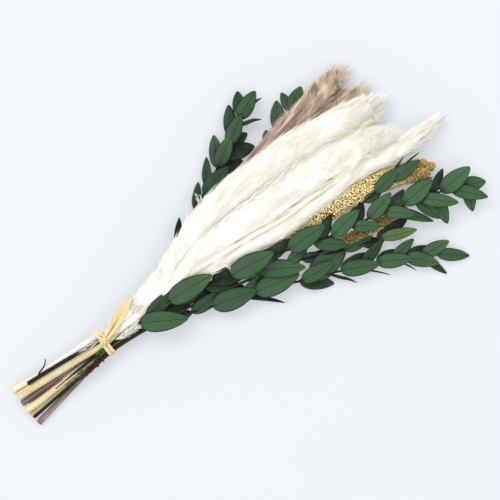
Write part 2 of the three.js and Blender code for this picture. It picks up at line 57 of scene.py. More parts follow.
studio = {
    "floorColor": (0.33, 0.346, 0.362),
    "floorSize": 3000.0,
    "floorGlow": 0.37,           # share of its own light, which keeps the shadows soft and pale
    "glowColor": (0.93, 0.965, 1.0, 1),
    "skyColor": (1.0, 1.0, 1.0, 1),
    "skyStrength": 1.42,
    "keyFrom": (-0.25, 0.97),    # where the main light stands, seen from above
    "keyAway": 1700.0,
    "keyHeight": 2200.0,
    "keySize": 1500.0,
    "keyPower": 26.0,
}


def aimAt(thing, place, target):
    thing.location = [c * mm for c in place]
    direction = np.array(target, float) - np.array(place, float)
    flat = math.hypot(direction[0], direction[1])
    thing.rotation_euler = (
        math.atan2(flat, -direction[2]), 0, math.atan2(direction[1], direction[0]) - math.pi / 2)


def makeCamera():
    data = bpy.data.cameras.new("camera")
    data.lens = view["lens"]
    data.sensor_width = view["sensor"]
    data.clip_end = 20
    camera = bpy.data.objects.new("camera", data)
    away = view["width"] * view["lens"] / view["sensor"]
    x, y, z = view["aim"]
    camera.location = (x * mm, y * mm, (z + away) * mm)
    camera.rotation_euler = (0, 0, math.radians(view["turn"]))
    bpy.context.scene.collection.objects.link(camera)
    bpy.context.scene.camera = camera


def makeStudio():
    scene = bpy.context.scene
    world = bpy.data.worlds.new("sky")
    world.use_nodes = True
    sky = world.node_tree.nodes["Background"]
    sky.inputs["Color"].default_value = studio["skyColor"]
    sky.inputs["Strength"].default_value = studio["skyStrength"]
    scene.world = world
    scene.view_settings.view_transform = "Standard"

    lamp = bpy.data.lights.new("key", "AREA")
    lamp.shape = "DISK"
    lamp.size = studio["keySize"] * mm
    lamp.energy = studio["keyPower"]
    key = bpy.data.objects.new("key", lamp)
    x, y, z = view["aim"]
    dx, dy = studio["keyFrom"]
    away = studio["keyAway"]
    aimAt(key, (x + dx * away, y + dy * away, z + studio["keyHeight"]), view["aim"])
    scene.collection.objects.link(key)


# Routes and frames

def unit(v):
    return v / np.maximum(np.linalg.norm(v, axis=-1, keepdims=True), 1e-9)


# Numbers side by side as the columns of one array
def columnsOf(*values):
    return np.stack(np.broadcast_arrays(*values), -1)


# A smooth route through given points: in each span a cubic whose end slopes come from
# the neighbouring points, spaced by the roots of their distances. Past its ends it runs on
# straight. Returns places and headings.
def routeAt(points, t):
    points = np.asarray(points, float)
    padded = np.vstack([2 * points[0] - points[1], points, 2 * points[-1] - points[-2]])
    gaps = np.linalg.norm(np.diff(padded, axis=0), axis=1) ** 0.5
    held = np.clip(t, 0, 1)
    span = np.minimum((held * (len(points) - 1)).astype(int), len(points) - 2)
    u = (held * (len(points) - 1) - span)[..., None]
    a, b, c, d = (padded[span + k] for k in range(4))
    ab, bc, cd = (gaps[span + k][..., None] for k in range(3))
    leave = ((b - a) / ab - (c - a) / (ab + bc) + (c - b) / bc) * bc
    arrive = ((c - b) / bc - (d - b) / (bc + cd) + (d - c) / cd) * bc
    bend = 3 * (c - b) - 2 * leave - arrive
    twist = 2 * (b - c) + leave + arrive
    place = b + u * (leave + u * (bend + u * twist))
    heading = unit(leave + u * (2 * bend + 3 * u * twist))
    length = np.linalg.norm(np.diff(points, axis=0), axis=1).sum()
    return place + heading * ((t - held) * length)[..., None], heading


# Level side direction and the direction square to it and to the heading
def sidesOf(heading):
    side = unit(np.cross(up, heading))
    return side, np.cross(heading, side)


# Places on a route at given distances along the bunch
def placeAtX(points, x):
    t = np.linspace(0, 1, 800)
    places, _ = routeAt(points, t)
    return routeAt(points, np.interp(x, places[:, 0], t))


# Parts of a mesh: points, faces, and the marks that materials read. The mark flow holds
# millimetres along the part, millimetres across it and a random number. On hair the first two
# are the x and y of its foot, on a leaf the third is its age, on a seed the first is its
# ripeness. Share runs from root to tip, rim from middle to edge, and tone is one number for each
# hair, leaf or seed; on a leaf it holds its painted light and shade, with a random spread.

def partOf(points, faces, flow, share, rim, tone, normals=None):
    count = len(points)
    return {
        "points": points, "faces": faces, "flow": np.broadcast_to(flow, (count, 3)),
        "share": np.broadcast_to(share, count), "rim": np.broadcast_to(rim, count),
        "tone": np.broadcast_to(tone, count), "normals": normals,
    }


def addPiece(name, parts, material, nodes=()):
    points = np.concatenate([part["points"] for part in parts]) * mm
    starts = np.cumsum([0] + [len(part["points"]) for part in parts[:-1]])
    faces = [face + start for part, start in zip(parts, starts) for face in part["faces"]]
    corners = np.concatenate([face.ravel() for face in faces])
    sizes = np.concatenate([np.full(len(face), face.shape[1]) for face in faces])
    mesh = bpy.data.meshes.new(name)
    mesh.vertices.add(len(points))
    mesh.vertices.foreach_set("co", points.astype(np.float32).ravel())
    mesh.loops.add(len(corners))
    mesh.loops.foreach_set("vertex_index", corners.astype(np.int32))
    mesh.polygons.add(len(sizes))
    mesh.polygons.foreach_set("loop_start", (np.cumsum(sizes) - sizes).astype(np.int32))
    mesh.polygons.foreach_set("use_smooth", np.ones(len(sizes), bool))
    mesh.update(calc_edges=True)
    for mark, kind, field in (("flow", "FLOAT_VECTOR", "vector"), ("share", "FLOAT", "value"),
                              ("rim", "FLOAT", "value"), ("tone", "FLOAT", "value")):
        values = np.concatenate([part[mark] for part in parts]).astype(np.float32)
        mesh.attributes.new(mark, kind, "POINT").data.foreach_set(field, values.ravel())
    if all(part["normals"] is not None for part in parts):
        mesh.normals_split_custom_set_from_vertices(np.concatenate([part["normals"] for part in parts]))
    mesh.materials.append(material)
    piece = bpy.data.objects.new(name, mesh)
    bpy.context.scene.collection.objects.link(piece)
    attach(piece, "root")
    if nodes:
        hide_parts(*nodes)
    print(f"{name}: {int((sizes - 2).sum())} triangles")
    return piece


# Faces of a skin over equal rings whose points follow one another, with the numbers of those
# points and of their neighbours round the ring
def skinFaces(count, sides):
    ring = np.arange(count * sides).reshape(count, sides)
    turned = np.roll(ring, -1, axis=1)
    return columnsOf(ring[:-1], turned[:-1], turned[1:], ring[1:]).reshape(-1, 4), ring, turned


# The same faces, and fans that close the two ends on one point each
def ringFaces(count, sides):
    quads, ring, turned = skinFaces(count, sides)
    first = count * sides
    return [quads, np.concatenate([
        columnsOf(first, turned[0], ring[0]), columnsOf(first + 1, ring[-1], turned[-1])])]


# Faces of thin blades: an upper grid of points, a lower one, and the wall round their rim
def bladeFaces(rows, columns):
    grid = np.arange(rows * columns).reshape(rows, columns)
    a, b, c, d = grid[:-1, :-1], grid[:-1, 1:], grid[1:, 1:], grid[1:, :-1]
    upper = columnsOf(a, d, c, b).reshape(-1, 4)
    lower = upper[:, ::-1] + rows * columns
    rim = np.concatenate([grid[0], grid[1:, -1], grid[-1, -2::-1], grid[-2:0:-1, 0]])
    after = np.roll(rim, -1)
    wall = columnsOf(rim, after, after + rows * columns, rim + rows * columns)
    return np.concatenate([upper, lower, wall])


# The same faces again for each of many equal copies, whose points follow one another
def repeatFaces(faces, copies, size):
    return (faces[None] + (np.arange(copies) * size)[:, None, None]).reshape(-1, faces.shape[1])


# A round part along a route: ring points are place + radius * (cos angle * side + sin angle * top).
# Radii has a row for each station and a column for each side.
def tubePart(places, headings, radii, tone, seed=0.0):
    count, sides = radii.shape
    angles = 2 * np.pi * (np.arange(sides) + 0.5) / sides
    side, top = sidesOf(headings)
    spokes = np.cos(angles)[None, :, None] * side[:, None] + np.sin(angles)[None, :, None] * top[:, None]
    rings = places[:, None] + spokes * radii[..., None]
    points = np.concatenate([rings.reshape(-1, 3), places[:1], places[-1:]])
    steps = np.linalg.norm(np.diff(places, axis=0, prepend=places[:1]), axis=1)
    along = np.cumsum(steps)
    around = angles * radii.mean()
    flow = columnsOf(np.repeat(along, sides), np.tile(around, count), seed)
    flow = np.concatenate([flow, flow[:1], flow[-1:]])
    share = np.append(np.repeat(along / max(along[-1], 1e-6), sides), [0, 1])
    return partOf(points, ringFaces(count, sides), flow, share, 0.0, tone)


# Hairs: three-sided strands, each tapering from its root ring to a single point.
# Paths holds the stations of every hair, root first; thick is its radius at each of them.
# The normals lean from each strand's own towards the plume's, so that the hair shades softly.
def hairPart(paths, thick, flow, tone, outward):
    hairs, stations = paths.shape[:2]
    heading = unit(np.gradient(paths, axis=1))
    side, top = sidesOf(heading)
    angles = 2 * np.pi * np.arange(3) / 3
    spokes = np.cos(angles)[:, None] * side[:, :-1, None] + np.sin(angles)[:, None] * top[:, :-1, None]
    rings = paths[:, :-1, None] + spokes * thick[:, :-1, None, None]
    points = np.concatenate([rings.reshape(hairs, -1, 3), paths[:, -1:]], axis=1)
    quads, ring, turned = skinFaces(stations - 1, 3)
    ends = np.concatenate([columnsOf(ring[-1], turned[-1], 3 * (stations - 1)), [[0, 2, 1]]])
    each = points.shape[1]
    perHair = lambda values: np.concatenate([np.repeat(values[:, :-1], 3, axis=1), values[:, -1:]], axis=1)
    share = np.broadcast_to(np.linspace(0, 1, stations), (hairs, stations))
    own = np.concatenate([spokes.reshape(hairs, -1, 3), heading[:, -1:]], axis=1)
    normals = unit(0.6 * own + 0.65 * perHair(outward))
    return partOf(
        points.reshape(-1, 3), [repeatFaces(quads, hairs, each), repeatFaces(ends, hairs, each)],
        np.repeat(flow, each, axis=0), perHair(share).ravel(), 0.0, np.repeat(tone, each),
        normals.reshape(-1, 3))


# Materials

def newMaterial(name, color, roughness, sheen=0.0, specular=0.5):
    material = bpy.data.materials.new(name)
    material.use_nodes = True
    material.diffuse_color = (*color, 1)
    shader = material.node_tree.nodes["Principled BSDF"]
    shader.inputs["Base Color"].default_value = (*color, 1)
    shader.inputs["Roughness"].default_value = roughness
    shader.inputs["Sheen Weight"].default_value = sheen
    shader.inputs["Specular IOR Level"].default_value = specular
    return material, material.node_tree, shader


# A node with its sockets filled, each by a number, a colour or another node's output
def addNode(tree, kind, sockets, **settings):
    node = tree.nodes.new("ShaderNode" + kind)
    for name, value in settings.items():
        setattr(node, name, value)
    for socket, value in sockets.items():
        if isinstance(value, bpy.types.NodeSocket):
            tree.links.new(value, node.inputs[socket])
        else:
            node.inputs[socket].default_value = (*value, 1) if isinstance(value, tuple) else value
    return node.outputs


def readMark(tree, mark, output="Fac"):
    return addNode(tree, "Attribute", {}, attribute_name=mark)[output]


def calculate(tree, operation, first, second=0.0, clamp=False):
    return addNode(tree, "Math", {0: first, 1: second}, operation=operation, use_clamp=clamp)[0]


def times(tree, first, second):
    return calculate(tree, "MULTIPLY", first, second)


def oneMinus(tree, value):
    return calculate(tree, "SUBTRACT", 1.0, value)


# Runs from 0 to 1 as value goes from low to high
def ramp(tree, value, low, high):
    sockets = {"Value": value, "From Min": low, "From Max": high}
    return addNode(tree, "MapRange", sockets, interpolation_type="SMOOTHSTEP")["Result"]


def mixColors(tree, share, first, second):
    return addNode(tree, "Mix", {0: share, 6: first, 7: second}, data_type="RGBA")[2]


# Moves a colour towards another by the mask times the amount
def tint(tree, color, mask, amount, other):
    return mixColors(tree, times(tree, mask, amount), color, other)


# The three numbers of the mark flow
def readFlow(tree):
    return addNode(tree, "SeparateXYZ", {0: readMark(tree, "flow", "Vector")})


def newGroup(name, inputs, output):
    group = bpy.data.node_groups.new(name, "ShaderNodeTree")
    for label, value in inputs.items():
        socket = group.interface.new_socket(label, in_out="INPUT", socket_type="NodeSocketFloat")
        socket.default_value = value
    group.interface.new_socket(output, in_out="OUTPUT", socket_type="NodeSocketFloat")
    return group, group.nodes.new("NodeGroupInput").outputs, group.nodes.new("NodeGroupOutput").inputs


# Fine lines that run along a part: noise on its flow, squeezed across and stretched along
def makeFibreGroup():
    group, given, result = newGroup("fibres", {"Along": 0.05, "Across": 2.0, "Contrast": 1.0}, "Lines")
    x, y, z = readFlow(group)
    stretched = addNode(group, "CombineXYZ", {
        0: times(group, x, given["Along"]), 1: times(group, y, given["Across"]), 2: times(group, z, 37.0)})
    noise = addNode(group, "TexNoise", {"Vector": stretched[0], "Scale": 1.0, "Detail": 3.0})
    spread = times(group, calculate(group, "SUBTRACT", noise["Fac"], 0.5), given["Contrast"])
    group.links.new(calculate(group, "ADD", spread, 0.5, clamp=True), result["Lines"])
    return group


# Soft blotches on Object coordinates, spots to the millimetre
def makeMottleGroup():
    group, given, result = newGroup("mottle", {"Spots": 0.1, "Detail": 3.0}, "Mask")
    noise = addNode(group, "TexNoise", {
        "Vector": addNode(group, "TexCoord", {})["Object"],
        "Scale": times(group, given["Spots"], 1 / mm), "Detail": given["Detail"]})
    group.links.new(ramp(group, noise["Fac"], 0.3, 0.7), result["Mask"])
    return group


def useGroup(tree, group, **values):
    return addNode(tree, "Group", values, node_tree=group)[0]


def bump(tree, shader, height, distance):
    bumped = addNode(tree, "Bump", {"Distance": distance * mm, "Height": height})
    tree.links.new(bumped["Normal"], shader.inputs["Normal"])


fibres = makeFibreGroup()
mottle = makeMottleGroup()


# Hair: darker at the root, which is painted shade in the depth of the plume, one tone for each
# hair, and the whole plume shifts from one colour near its stem to another at its end
def hairMaterial(name, deepAndRootShade, near, far, fromX, toX):
    material, tree, shader = newMaterial(name, near, 0.9, sheen=0.2, specular=0.15)
    x = readFlow(tree)[0]
    body = mixColors(tree, ramp(tree, x, fromX, toX), near, far)
    # painted shade: towards the root the hair takes the deep colour
    pale = ramp(tree, readMark(tree, "share"), -0.3, 0.5)
    tone = times(tree, readMark(tree, "tone"), pale)
    tree.links.new(mixColors(tree, tone, deepAndRootShade, body), shader.inputs["Base Color"])
    return material


def stemMaterial(name, light, dark, lineContrast, roughness, specular):
    material, tree, shader = newMaterial(name, light, roughness, specular=specular)
    lines = useGroup(tree, fibres, Along=0.03, Across=3.0, Contrast=lineContrast)
    patches = useGroup(tree, mottle, Spots=0.06)
    color = mixColors(tree, times(tree, lines, patches), dark, light)
    color = tint(tree, color, readMark(tree, "tone"), 0.5, light)
    tree.links.new(color, shader.inputs["Base Color"])
    bump(tree, shader, lines, 0.25)
    return material


leafColors = {
    "light": (0.036, 0.1, 0.038), "dark": (0.004, 0.012, 0.005), "worn": (0.043, 0.1, 0.043),
    "blush": (0.056, 0.058, 0.053), "tip": (0.085, 0.17, 0.033), "fresh": (0.13, 0.22, 0.05),
    "rib": (0.005, 0.016, 0.008), "edge": (0.004, 0.012, 0.006)}


def leafMaterial():
    light, dark = leafColors["light"], leafColors["dark"]
    material, tree, shader = newMaterial("preservedLeaf", light, 0.55, specular=0.22)
    x, y, age = readFlow(tree)
    tone = readMark(tree, "tone")
    patches = useGroup(tree, mottle, Spots=0.11)
    # the tone, painted light and shade of each leaf with a random spread, runs from the dark colour to the
    # light one
    color = mixColors(tree, tone, dark, light)
    color = tint(tree, color, patches, 0.25, leafColors["worn"])
    grain = useGroup(tree, mottle, Spots=0.8)
    color = tint(tree, color, grain, 0.34, dark)
    offRib = calculate(tree, "ABSOLUTE", y)
    # side veins slant forward from the midrib
    slanted = calculate(tree, "SUBTRACT", x, times(tree, offRib, 1.1))
    wave = calculate(tree, "SINE", times(tree, slanted, 1.9))
    veins = ramp(tree, wave, 0.5, 1.0)
    color = tint(tree, color, veins, 0.12, dark)
    # a greyish purple blush on one half near the foot of the older leaves, yellowing at the tips
    foot = oneMinus(tree, ramp(tree, readMark(tree, "share"), 0.1, 0.7))
    half = ramp(tree, y, -0.5, 3.5)
    blush = times(tree, times(tree, foot, half), ramp(tree, age, 0.35, 0.75))
    color = tint(tree, color, blush, 0.75, leafColors["blush"])
    tip = times(tree, ramp(tree, readMark(tree, "share"), 0.45, 1.05), ramp(tree, age, 0.6, 1.0))
    color = tint(tree, color, tip, 0.6, leafColors["tip"])
    fresh = times(tree, ramp(tree, age, 1.0, 1.6), oneMinus(tree, veins))
    color = tint(tree, color, fresh, 0.9, leafColors["fresh"])
    # fine dark midrib and a dark edge of painted shade
    rib = oneMinus(tree, ramp(tree, offRib, 0.1, 0.38))
    color = tint(tree, color, rib, 0.75, leafColors["rib"])
    edge = ramp(tree, readMark(tree, "rim"), 0.84, 1.0)
    color = tint(tree, color, edge, 0.85, leafColors["edge"])
    tree.links.new(color, shader.inputs["Base Color"])
    bump(tree, shader, oneMinus(tree, calculate(tree, "ADD", rib, times(tree, veins, 0.4))), 0.22)
    return material


seedColors = {
    "pale": ((0.84, 0.61, 0.22), (1.0, 0.91, 0.53)), "ripe": ((0.27, 0.16, 0.028), (0.7, 0.53, 0.16)),
    "spots": (0.25, 0.15, 0.04)}


def seedMaterial():
    material, tree, shader = newMaterial("goldenSeed", (0.72, 0.5, 0.2), 0.6, specular=0.4)
    x = readFlow(tree)[0]
    tone = readMark(tree, "tone")
    pale, ripe = (mixColors(tree, tone, *seedColors[age]) for age in ("pale", "ripe"))
    color = mixColors(tree, ramp(tree, x, 0.0, 1.0), pale, ripe)
    patches = useGroup(tree, mottle, Spots=1.2, Detail=1.0)
    color = tint(tree, color, patches, 0.15, seedColors["spots"])
    tree.links.new(color, shader.inputs["Base Color"])
    return material


raffiaColors = {"light": (0.72, 0.585, 0.33), "dark": (0.48, 0.34, 0.15), "creaseShade": (0.16, 0.08, 0.03)}


def raffiaMaterial():
    light, dark = raffiaColors["light"], raffiaColors["dark"]
    material, tree, shader = newMaterial("raffia", light, 0.55, sheen=0.1, specular=0.4)
    lines = useGroup(tree, fibres, Along=0.04, Across=2.6, Contrast=1.6)
    patches = useGroup(tree, mottle, Spots=0.05)
    color = mixColors(tree, lines, dark, light)
    color = tint(tree, color, patches, 0.5, light)
    # painted shade: the fold down the middle of a strip is darker
    creaseShade = oneMinus(tree, ramp(tree, readMark(tree, "rim"), 0.02, 0.26))
    near = oneMinus(tree, ramp(tree, readMark(tree, "share"), 0.3, 0.65))
    color = mixColors(tree, times(tree, creaseShade, near), color, raffiaColors["creaseShade"])
    tree.links.new(color, shader.inputs["Base Color"])
    bump(tree, shader, lines, 0.3)
    return material


mossColors = {"brown": (0.02, 0.01, 0.006), "green": (0.05, 0.14, 0.028), "dry": (0.09, 0.055, 0.02)}


# Moss: each flake is dark brown or green by its own random number
def mossMaterial():
    material, tree, shader = newMaterial("mossFlakes", (0.03, 0.04, 0.012), 0.85, specular=0.15)
    kind = ramp(tree, readMark(tree, "tone"), 0.45, 0.55)
    color = mixColors(tree, kind, mossColors["brown"], mossColors["green"])
    patches = useGroup(tree, mottle, Spots=0.9)
    color = tint(tree, color, patches, 0.4, mossColors["dry"])
    tree.links.new(color, shader.inputs["Base Color"])
    return material


def floorMaterial():
    color = studio["floorColor"]
    material, tree, shader = newMaterial("paleTable", color, 0.9, specular=0.1)
    patches = useGroup(tree, mottle, Spots=0.004)
    shader.inputs["Emission Color"].default_value = studio["glowColor"]
    shader.inputs["Emission Strength"].default_value = studio["floorGlow"]
    low = tuple(0.99 * c for c in color)
    tree.links.new(mixColors(tree, patches, low, color), shader.inputs["Base Color"])
    return material


def makeFloor():
    corners = np.array([[-1, -1, 0], [1, -1, 0], [1, 1, 0], [-1, 1, 0]]) * studio["floorSize"]
    mesh = bpy.data.meshes.new("floor")
    mesh.from_pydata((corners * mm).tolist(), [], [(0, 1, 2, 3)])
    mesh.materials.append(floorMaterial())
    floor = bpy.data.objects.new("floor", mesh)
    bpy.context.scene.collection.objects.link(floor)


print("camera, floor and light")
makeCamera()
makeStudio()
makeFloor()

# deep tone, which is also the painted shade at the roots, colour near the stem, colour at the
# plume's end, and the x where the change begins and ends
hairLooks = {
    "whiteHair": ((0.9, 0.83, 0.64), (0.97, 0.968, 0.93), (0.97, 0.96, 0.9), 40, 320),
    # the groove hair turns beige towards the plume's end: painted shade of the grooves
    "grooveShadeHair": ((0.86, 0.8, 0.62), (0.97, 0.968, 0.93), (0.87, 0.84, 0.68), 110, 230),
    "taupeHair": ((0.13, 0.055, 0.045), (0.48, 0.3, 0.27), (0.97, 0.81, 0.61), 150, 310)}

# light colour, dark colour, contrast of the lines, roughness, specular
stemLooks = {
    "paleStraw": ((0.74, 0.68, 0.53), (0.55, 0.47, 0.31), 2.2, 0.6, 0.3),
    "creamStraw": ((0.72, 0.66, 0.42), (0.45, 0.34, 0.15), 2.4, 0.5, 0.3),
    "mauveStraw": ((0.34, 0.25, 0.24), (0.1, 0.06, 0.055), 2.6, 0.55, 0.3),
    "darkStalk": ((0.08, 0.045, 0.025), (0.02, 0.013, 0.01), 1.6, 0.6, 0.3),
    # the spindle is dark brown, and darker still as painted shade in the gaps between the seeds
    "huskAndGapShade": ((0.28, 0.172, 0.052), (0.1, 0.058, 0.017), 1.6, 0.7, 0.3),
    "redSheath": ((0.2, 0.06, 0.03), (0.07, 0.02, 0.012), 1.8, 0.6, 0.3),
    "greenTwig": ((0.019, 0.016, 0.006), (0.005, 0.004, 0.002), 1.6, 0.6, 0.15)}

print("materials")
furs = {name: hairMaterial(name, *look) for name, look in hairLooks.items()}
straws = {name: stemMaterial(name, *look) for name, look in stemLooks.items()}
leafGreen, goldenSeed, raffia, mossFlakes = (
    leafMaterial(), seedMaterial(), raffiaMaterial(), mossMaterial())


# Bare stems: straight cut ends, a shallow pith hollow, faint ribs and one swollen joint.
# The routes are those of the solids.

plumeStartX = 26.0
cutEndX = -94.0

bareStems = {
    "white_stem_1": {
        "route": [(cutEndX, 12.9, 7.5), (-45, 9, 8), (0, 5.6, 8.4), (14, 6.8, 9.1), (plumeStartX, 8.4, 9.9)],
        "radius": 2.5, "cutRadius": 3.3, "tone": 1.0, "look": "pale"},
    "white_stem_2": {
        "route": [(cutEndX, -15.1, 2.9), (-45, -8.6, 3.2), (0, -2.5, 3.7), (14, -1.6, 3.9),
                  (plumeStartX, -0.2, 4.3)],
        "radius": 2.3, "cutRadius": 3.0, "tone": 0.7},
    "white_stem_3": {
        "route": [(cutEndX, -9.3, 8.5), (-45, -7.3, 8.7), (0, -5.5, 8.7), (14, -4.2, 8.7),
                  (plumeStartX, -2.8, 8.8)],
        "radius": 2.5, "cutRadius": 3.2, "tone": 0.8},
    "white_stem_4": {
        "route": [(cutEndX + 2, 5.6, 10), (-45, 2.7, 11.5), (0, 0, 13.1), (14, 1.3, 13.2),
                  (plumeStartX, 2.8, 13.4)],
        "radius": 2.7, "cutRadius": 3.8, "joint": -36.0, "tone": 0.5},
    "taupe_stem_1": {
        "route": [(cutEndX, -1.6, 4.5), (-45, -1.1, 6.3), (0, -0.6, 8), (20, 3, 7.2), (40, 8, 6.2),
                  (60, 13.5, 5.6), (80, 20, 4.9), (110, 31, 6.2), (146, 45, 8.4)],
        "radius": 2.1, "cutRadius": 2.9, "tone": 0.6},
    "taupe_stem_2": {
        "route": [(cutEndX + 2, -24.4, 3.2), (-45, -15.3, 3.5), (0, -7.3, 3.7), (20, -6.3, 3), (40, -3, 2.5),
                  (60, 3.5, 2.4), (80, 10, 2.8), (110, 22, 3.5), (150, 36.8, 5.2)],
        "radius": 2.0, "cutRadius": 2.7, "tone": 0.4},
    "millet_stem_1": {
        "route": [(-38, -13.8, 7.2), (0, -9.7, 6.5), (40, -7.5, 5.5), (100, -9, 7), (160, -14, 8.5),
                  (189, -15.2, 9)],
        "radius": 1.2, "cutRadius": 1.2, "tone": 0.5},
    "millet_stem_2": {
        "route": [(-28, -13.2, 9.8), (0, -9.6, 9.3), (40, -11.5, 8.4), (100, -20, 8), (160, -32, 7.5),
                  (212, -44.5, 7.5)],
        "radius": 1.2, "cutRadius": 1.2, "tone": 0.3},
}

stemKinds = {
    "pale": ("paleStraw", "cream_stem"), "white": ("creamStraw", "cream_stem"),
    "taupe": ("mauveStraw", "mauve_stem"), "millet": ("darkStalk", "dark_stem")}


strawForm = {
    "sides": 18, "stations": 100, "flare": 1.5, "swell": 0.16, "swellLength": 1.3,
    "pithDepth": 2.2, "pithShares": (0.45, 0.6)}


# A smooth swelling: a bell curve round a place on the stem
def swelling(x, middle, length, amount):
    return 1 + amount * np.exp(-((x - middle) / length) ** 2)


# The radius grows from the tie to the cut end with distance to the power of the flare, and
# swells at the joint. Two more rings run into the cut end and make its pith hollow.
def bareStem(stem, seed):
    form = strawForm
    places, headings = routeAt(stem["route"], np.linspace(0, 1, form["stations"]))
    x = places[:, 0]
    widening = np.maximum(0, x / cutEndX) ** form["flare"]
    radius = stem["radius"] + (stem["cutRadius"] - stem["radius"]) * widening
    if "joint" in stem:
        radius = radius * swelling(x, stem["joint"], form["swellLength"], form["swell"])
    angles = 2 * np.pi * (np.arange(form["sides"]) + 0.5) / form["sides"]
    ribs = 1 + 0.035 * np.cos(6 * angles + seed) + 0.02 * np.cos(11 * angles + 2 * seed)
    places = np.concatenate([places[0] + headings[0] * [[form["pithDepth"]], [0.0]], places])
    headings = np.concatenate([headings[:1], headings[:1], headings])
    pith = [np.full((1, form["sides"]), share * radius[0]) for share in form["pithShares"]]
    radii = np.concatenate(pith + [radius[:, None] * ribs])
    return tubePart(places, headings, radii, stem["tone"], seed)


print("bare stems")
for order, (name, stem) in enumerate(bareStems.items()):
    look, slot = stemKinds[stem.get("look", name.split("_")[0])]
    addPiece(name + "_straw", [bareStem(stem, order + 1.0)], straws[look], [name])


# Leafy stems. Each leaf is (x of its foot, bearing, length, width, lift, roll), as in the solids.
# Lit is how light a stem's leaves are; shaded and aged give single leaves their own light and age.

leftSpray = {
    "route": [(-78, 10.2, 13), (-40, 8, 13.1), (0, 4.9, 13.1), (20, 9.5, 12), (36, 14.6, 8.6), (50, 18, 6),
              (86, 29, 4.2), (111, 41, 4), (143, 56.5, 4.5), (169, 69.5, 5), (192, 82.5, 5.5), (214, 97, 6),
              (230, 107, 6)],
    "radii": (1.9, 0.8),
    "lit": 0.22,
    "shaded": {0: 0.25, 3: 0.3, 4: 0.02, 7: 0.03, 8: 0.0, 11: 0.25, 14: 0.25},
    "leaves": [
        (103, 40, 24, 9, 10, 45), (135, 46, 25, 9, 4, 20), (155, 56, 28, 9, 4, 0),
        (149, 12, 34, 15, 8, -10), (173, -17, 25, 17, -4, -10), (173, 60, 30, 13, 6, 8),
        (174, 31, 31, 14, 12, 0), (184, -15, 30, 17, -3, -10), (193, -3, 21, 12, -6, 0),
        (199, 58, 30, 13, 4, 6), (193, 31, 29, 14, 14, 0), (207, -10, 25, 9, 8, -60),
        (217, 62, 22, 12, 6, 6), (214, 22, 29, 15, 12, 0), (220, 6, 22, 7, 4, -55)],
}
leftTwig = {
    "route": [(-67, 9.6, 13), (-63.5, 12.4, 13.6), (-58, 14.2, 14.2), (-54, 17, 14.2), (-52.6, 19.4, 13.6)],
    "radii": (0.9, 0.45),
    "leaves": [],
}
backSpray = {
    "route": [(-70, 4.5, 2.4), (0, 2, 2.9), (40, 10.5, 2.4), (60, 16.5, 2.2), (80, 23.5, 2.2),
              (110, 33.5, 2.3), (130, 39, 2.4), (165, 49, 3), (204, 58.5, 3.6), (232.5, 66, 4.4),
              (256, 75.2, 5.4), (270, 82, 6)],
    "radii": (1.5, 0.7),
    "lit": 0.5,
    "leaves": [
        (223, 64, 13, 9, 2, 0), (237, 56, 28, 14, 4, 6), (257, 86, 19, 10, 6, 0),
        (257, 33, 24, 14, 6, 0), (262, -12, 14, 6, 0, -20)],
}
frontSpray = {
    "route": [(cutEndX + 2, -17.9, 7), (-45, -13, 10), (0, -8, 12.6), (34, -8.6, 12.2), (55, -13, 11.6),
              (78, -21.5, 11), (98, -28.2, 10.4), (139, -41, 9.4), (175, -54.7, 8.4), (211, -68.5, 7),
              (241, -80, 5.6), (266, -91.7, 4.4), (292, -106.5, 3.4)],
    "radii": (1.5, 0.8),
    "shaded": {0: 0.2, 3: 0.0, 5: 0.08, 8: 0.25, 10: 0.0, 12: 0.25, 13: 0.2, 14: 0.05, 16: 0.15, 18: 0.1,
               20: 0.1, 23: 0.15},
    "aged": {2: 0.2, 6: 0.55, 21: 0.85},
    "leaves": [
        (59, -24, 23, 12, -8, 0), (79, -3, 38, 13, 2, 5), (98, -15, 42, 20, 7, -4),
        (123, -35, 42, 9, -8, -60), (128, 15, 30, 12, 4, 25), (126, 2, 40, 15, -8, 0),
        (137, -11, 43, 20, 8, -4), (177, -6, 33, 14, 9, 4), (175, -40, 33, 14, -6, -10),
        (185, 9, 46, 23, 3, 8), (199, -42, 29, 8, -7, -68), (211, -24, 36, 15, 9, 0),
        (211, 0, 29, 12, 0, 10), (229, 13, 32, 11, 5, 18), (217, -34, 40, 6, -6, -72),
        (242, -31, 33, 14, 8, 0), (242, -5, 22, 11, 0, 8), (255, 8, 27, 11, 6, 14),
        (256.5, -54, 24, 5, -6, -70), (266, -44, 31, 14, 7, -4), (266, -8, 23, 10, 0, 8),
        (279, -9, 28, 13, 7, 6), (291, -37, 30, 12, 4, 0), (278, -66, 30, 9, -3, -30)],
}
frontBranch = {
    "route": [(30, -8.3, 12.4), (46, -4.4, 13.2), (82, -8, 13.4), (122, -14, 13.4), (152, -26, 12.4),
              (186, -39, 10.6), (225, -55, 9), (259, -65, 8)],
    "radii": (1.3, 0.8),
    "shaded": {0: 0.1, 1: 0.05, 2: 0.35, 3: 0.2, 4: 0.15, 5: 0.05, 9: 0.2, 11: 0.1, 13: 0.1, 12: 0.75},
    "aged": {12: 1.25},
    "leaves": [
        (60, -16, 30, 14, -7, 0), (76, -12, 36, 14, -6, 0), (103, -31, 36, 14, -5, -10),
        (110, 4, 24, 13, -4, 0), (113, 14, 29, 12, -2, 10), (112, -14, 36, 15, -7, 0),
        (150, -28, 43, 17, 6, -4), (178, 10, 22, 12, 2, 10), (176, 8, 22, 10, 10, 0),
        (188, -22, 20, 10, 0, 0), (224, -12, 30, 11, 2, 10), (240, -24, 22, 10, -4, 0),
        (258, -25, 33, 12, 8, 24), (254, -4, 34, 13, 2, 10)],
}
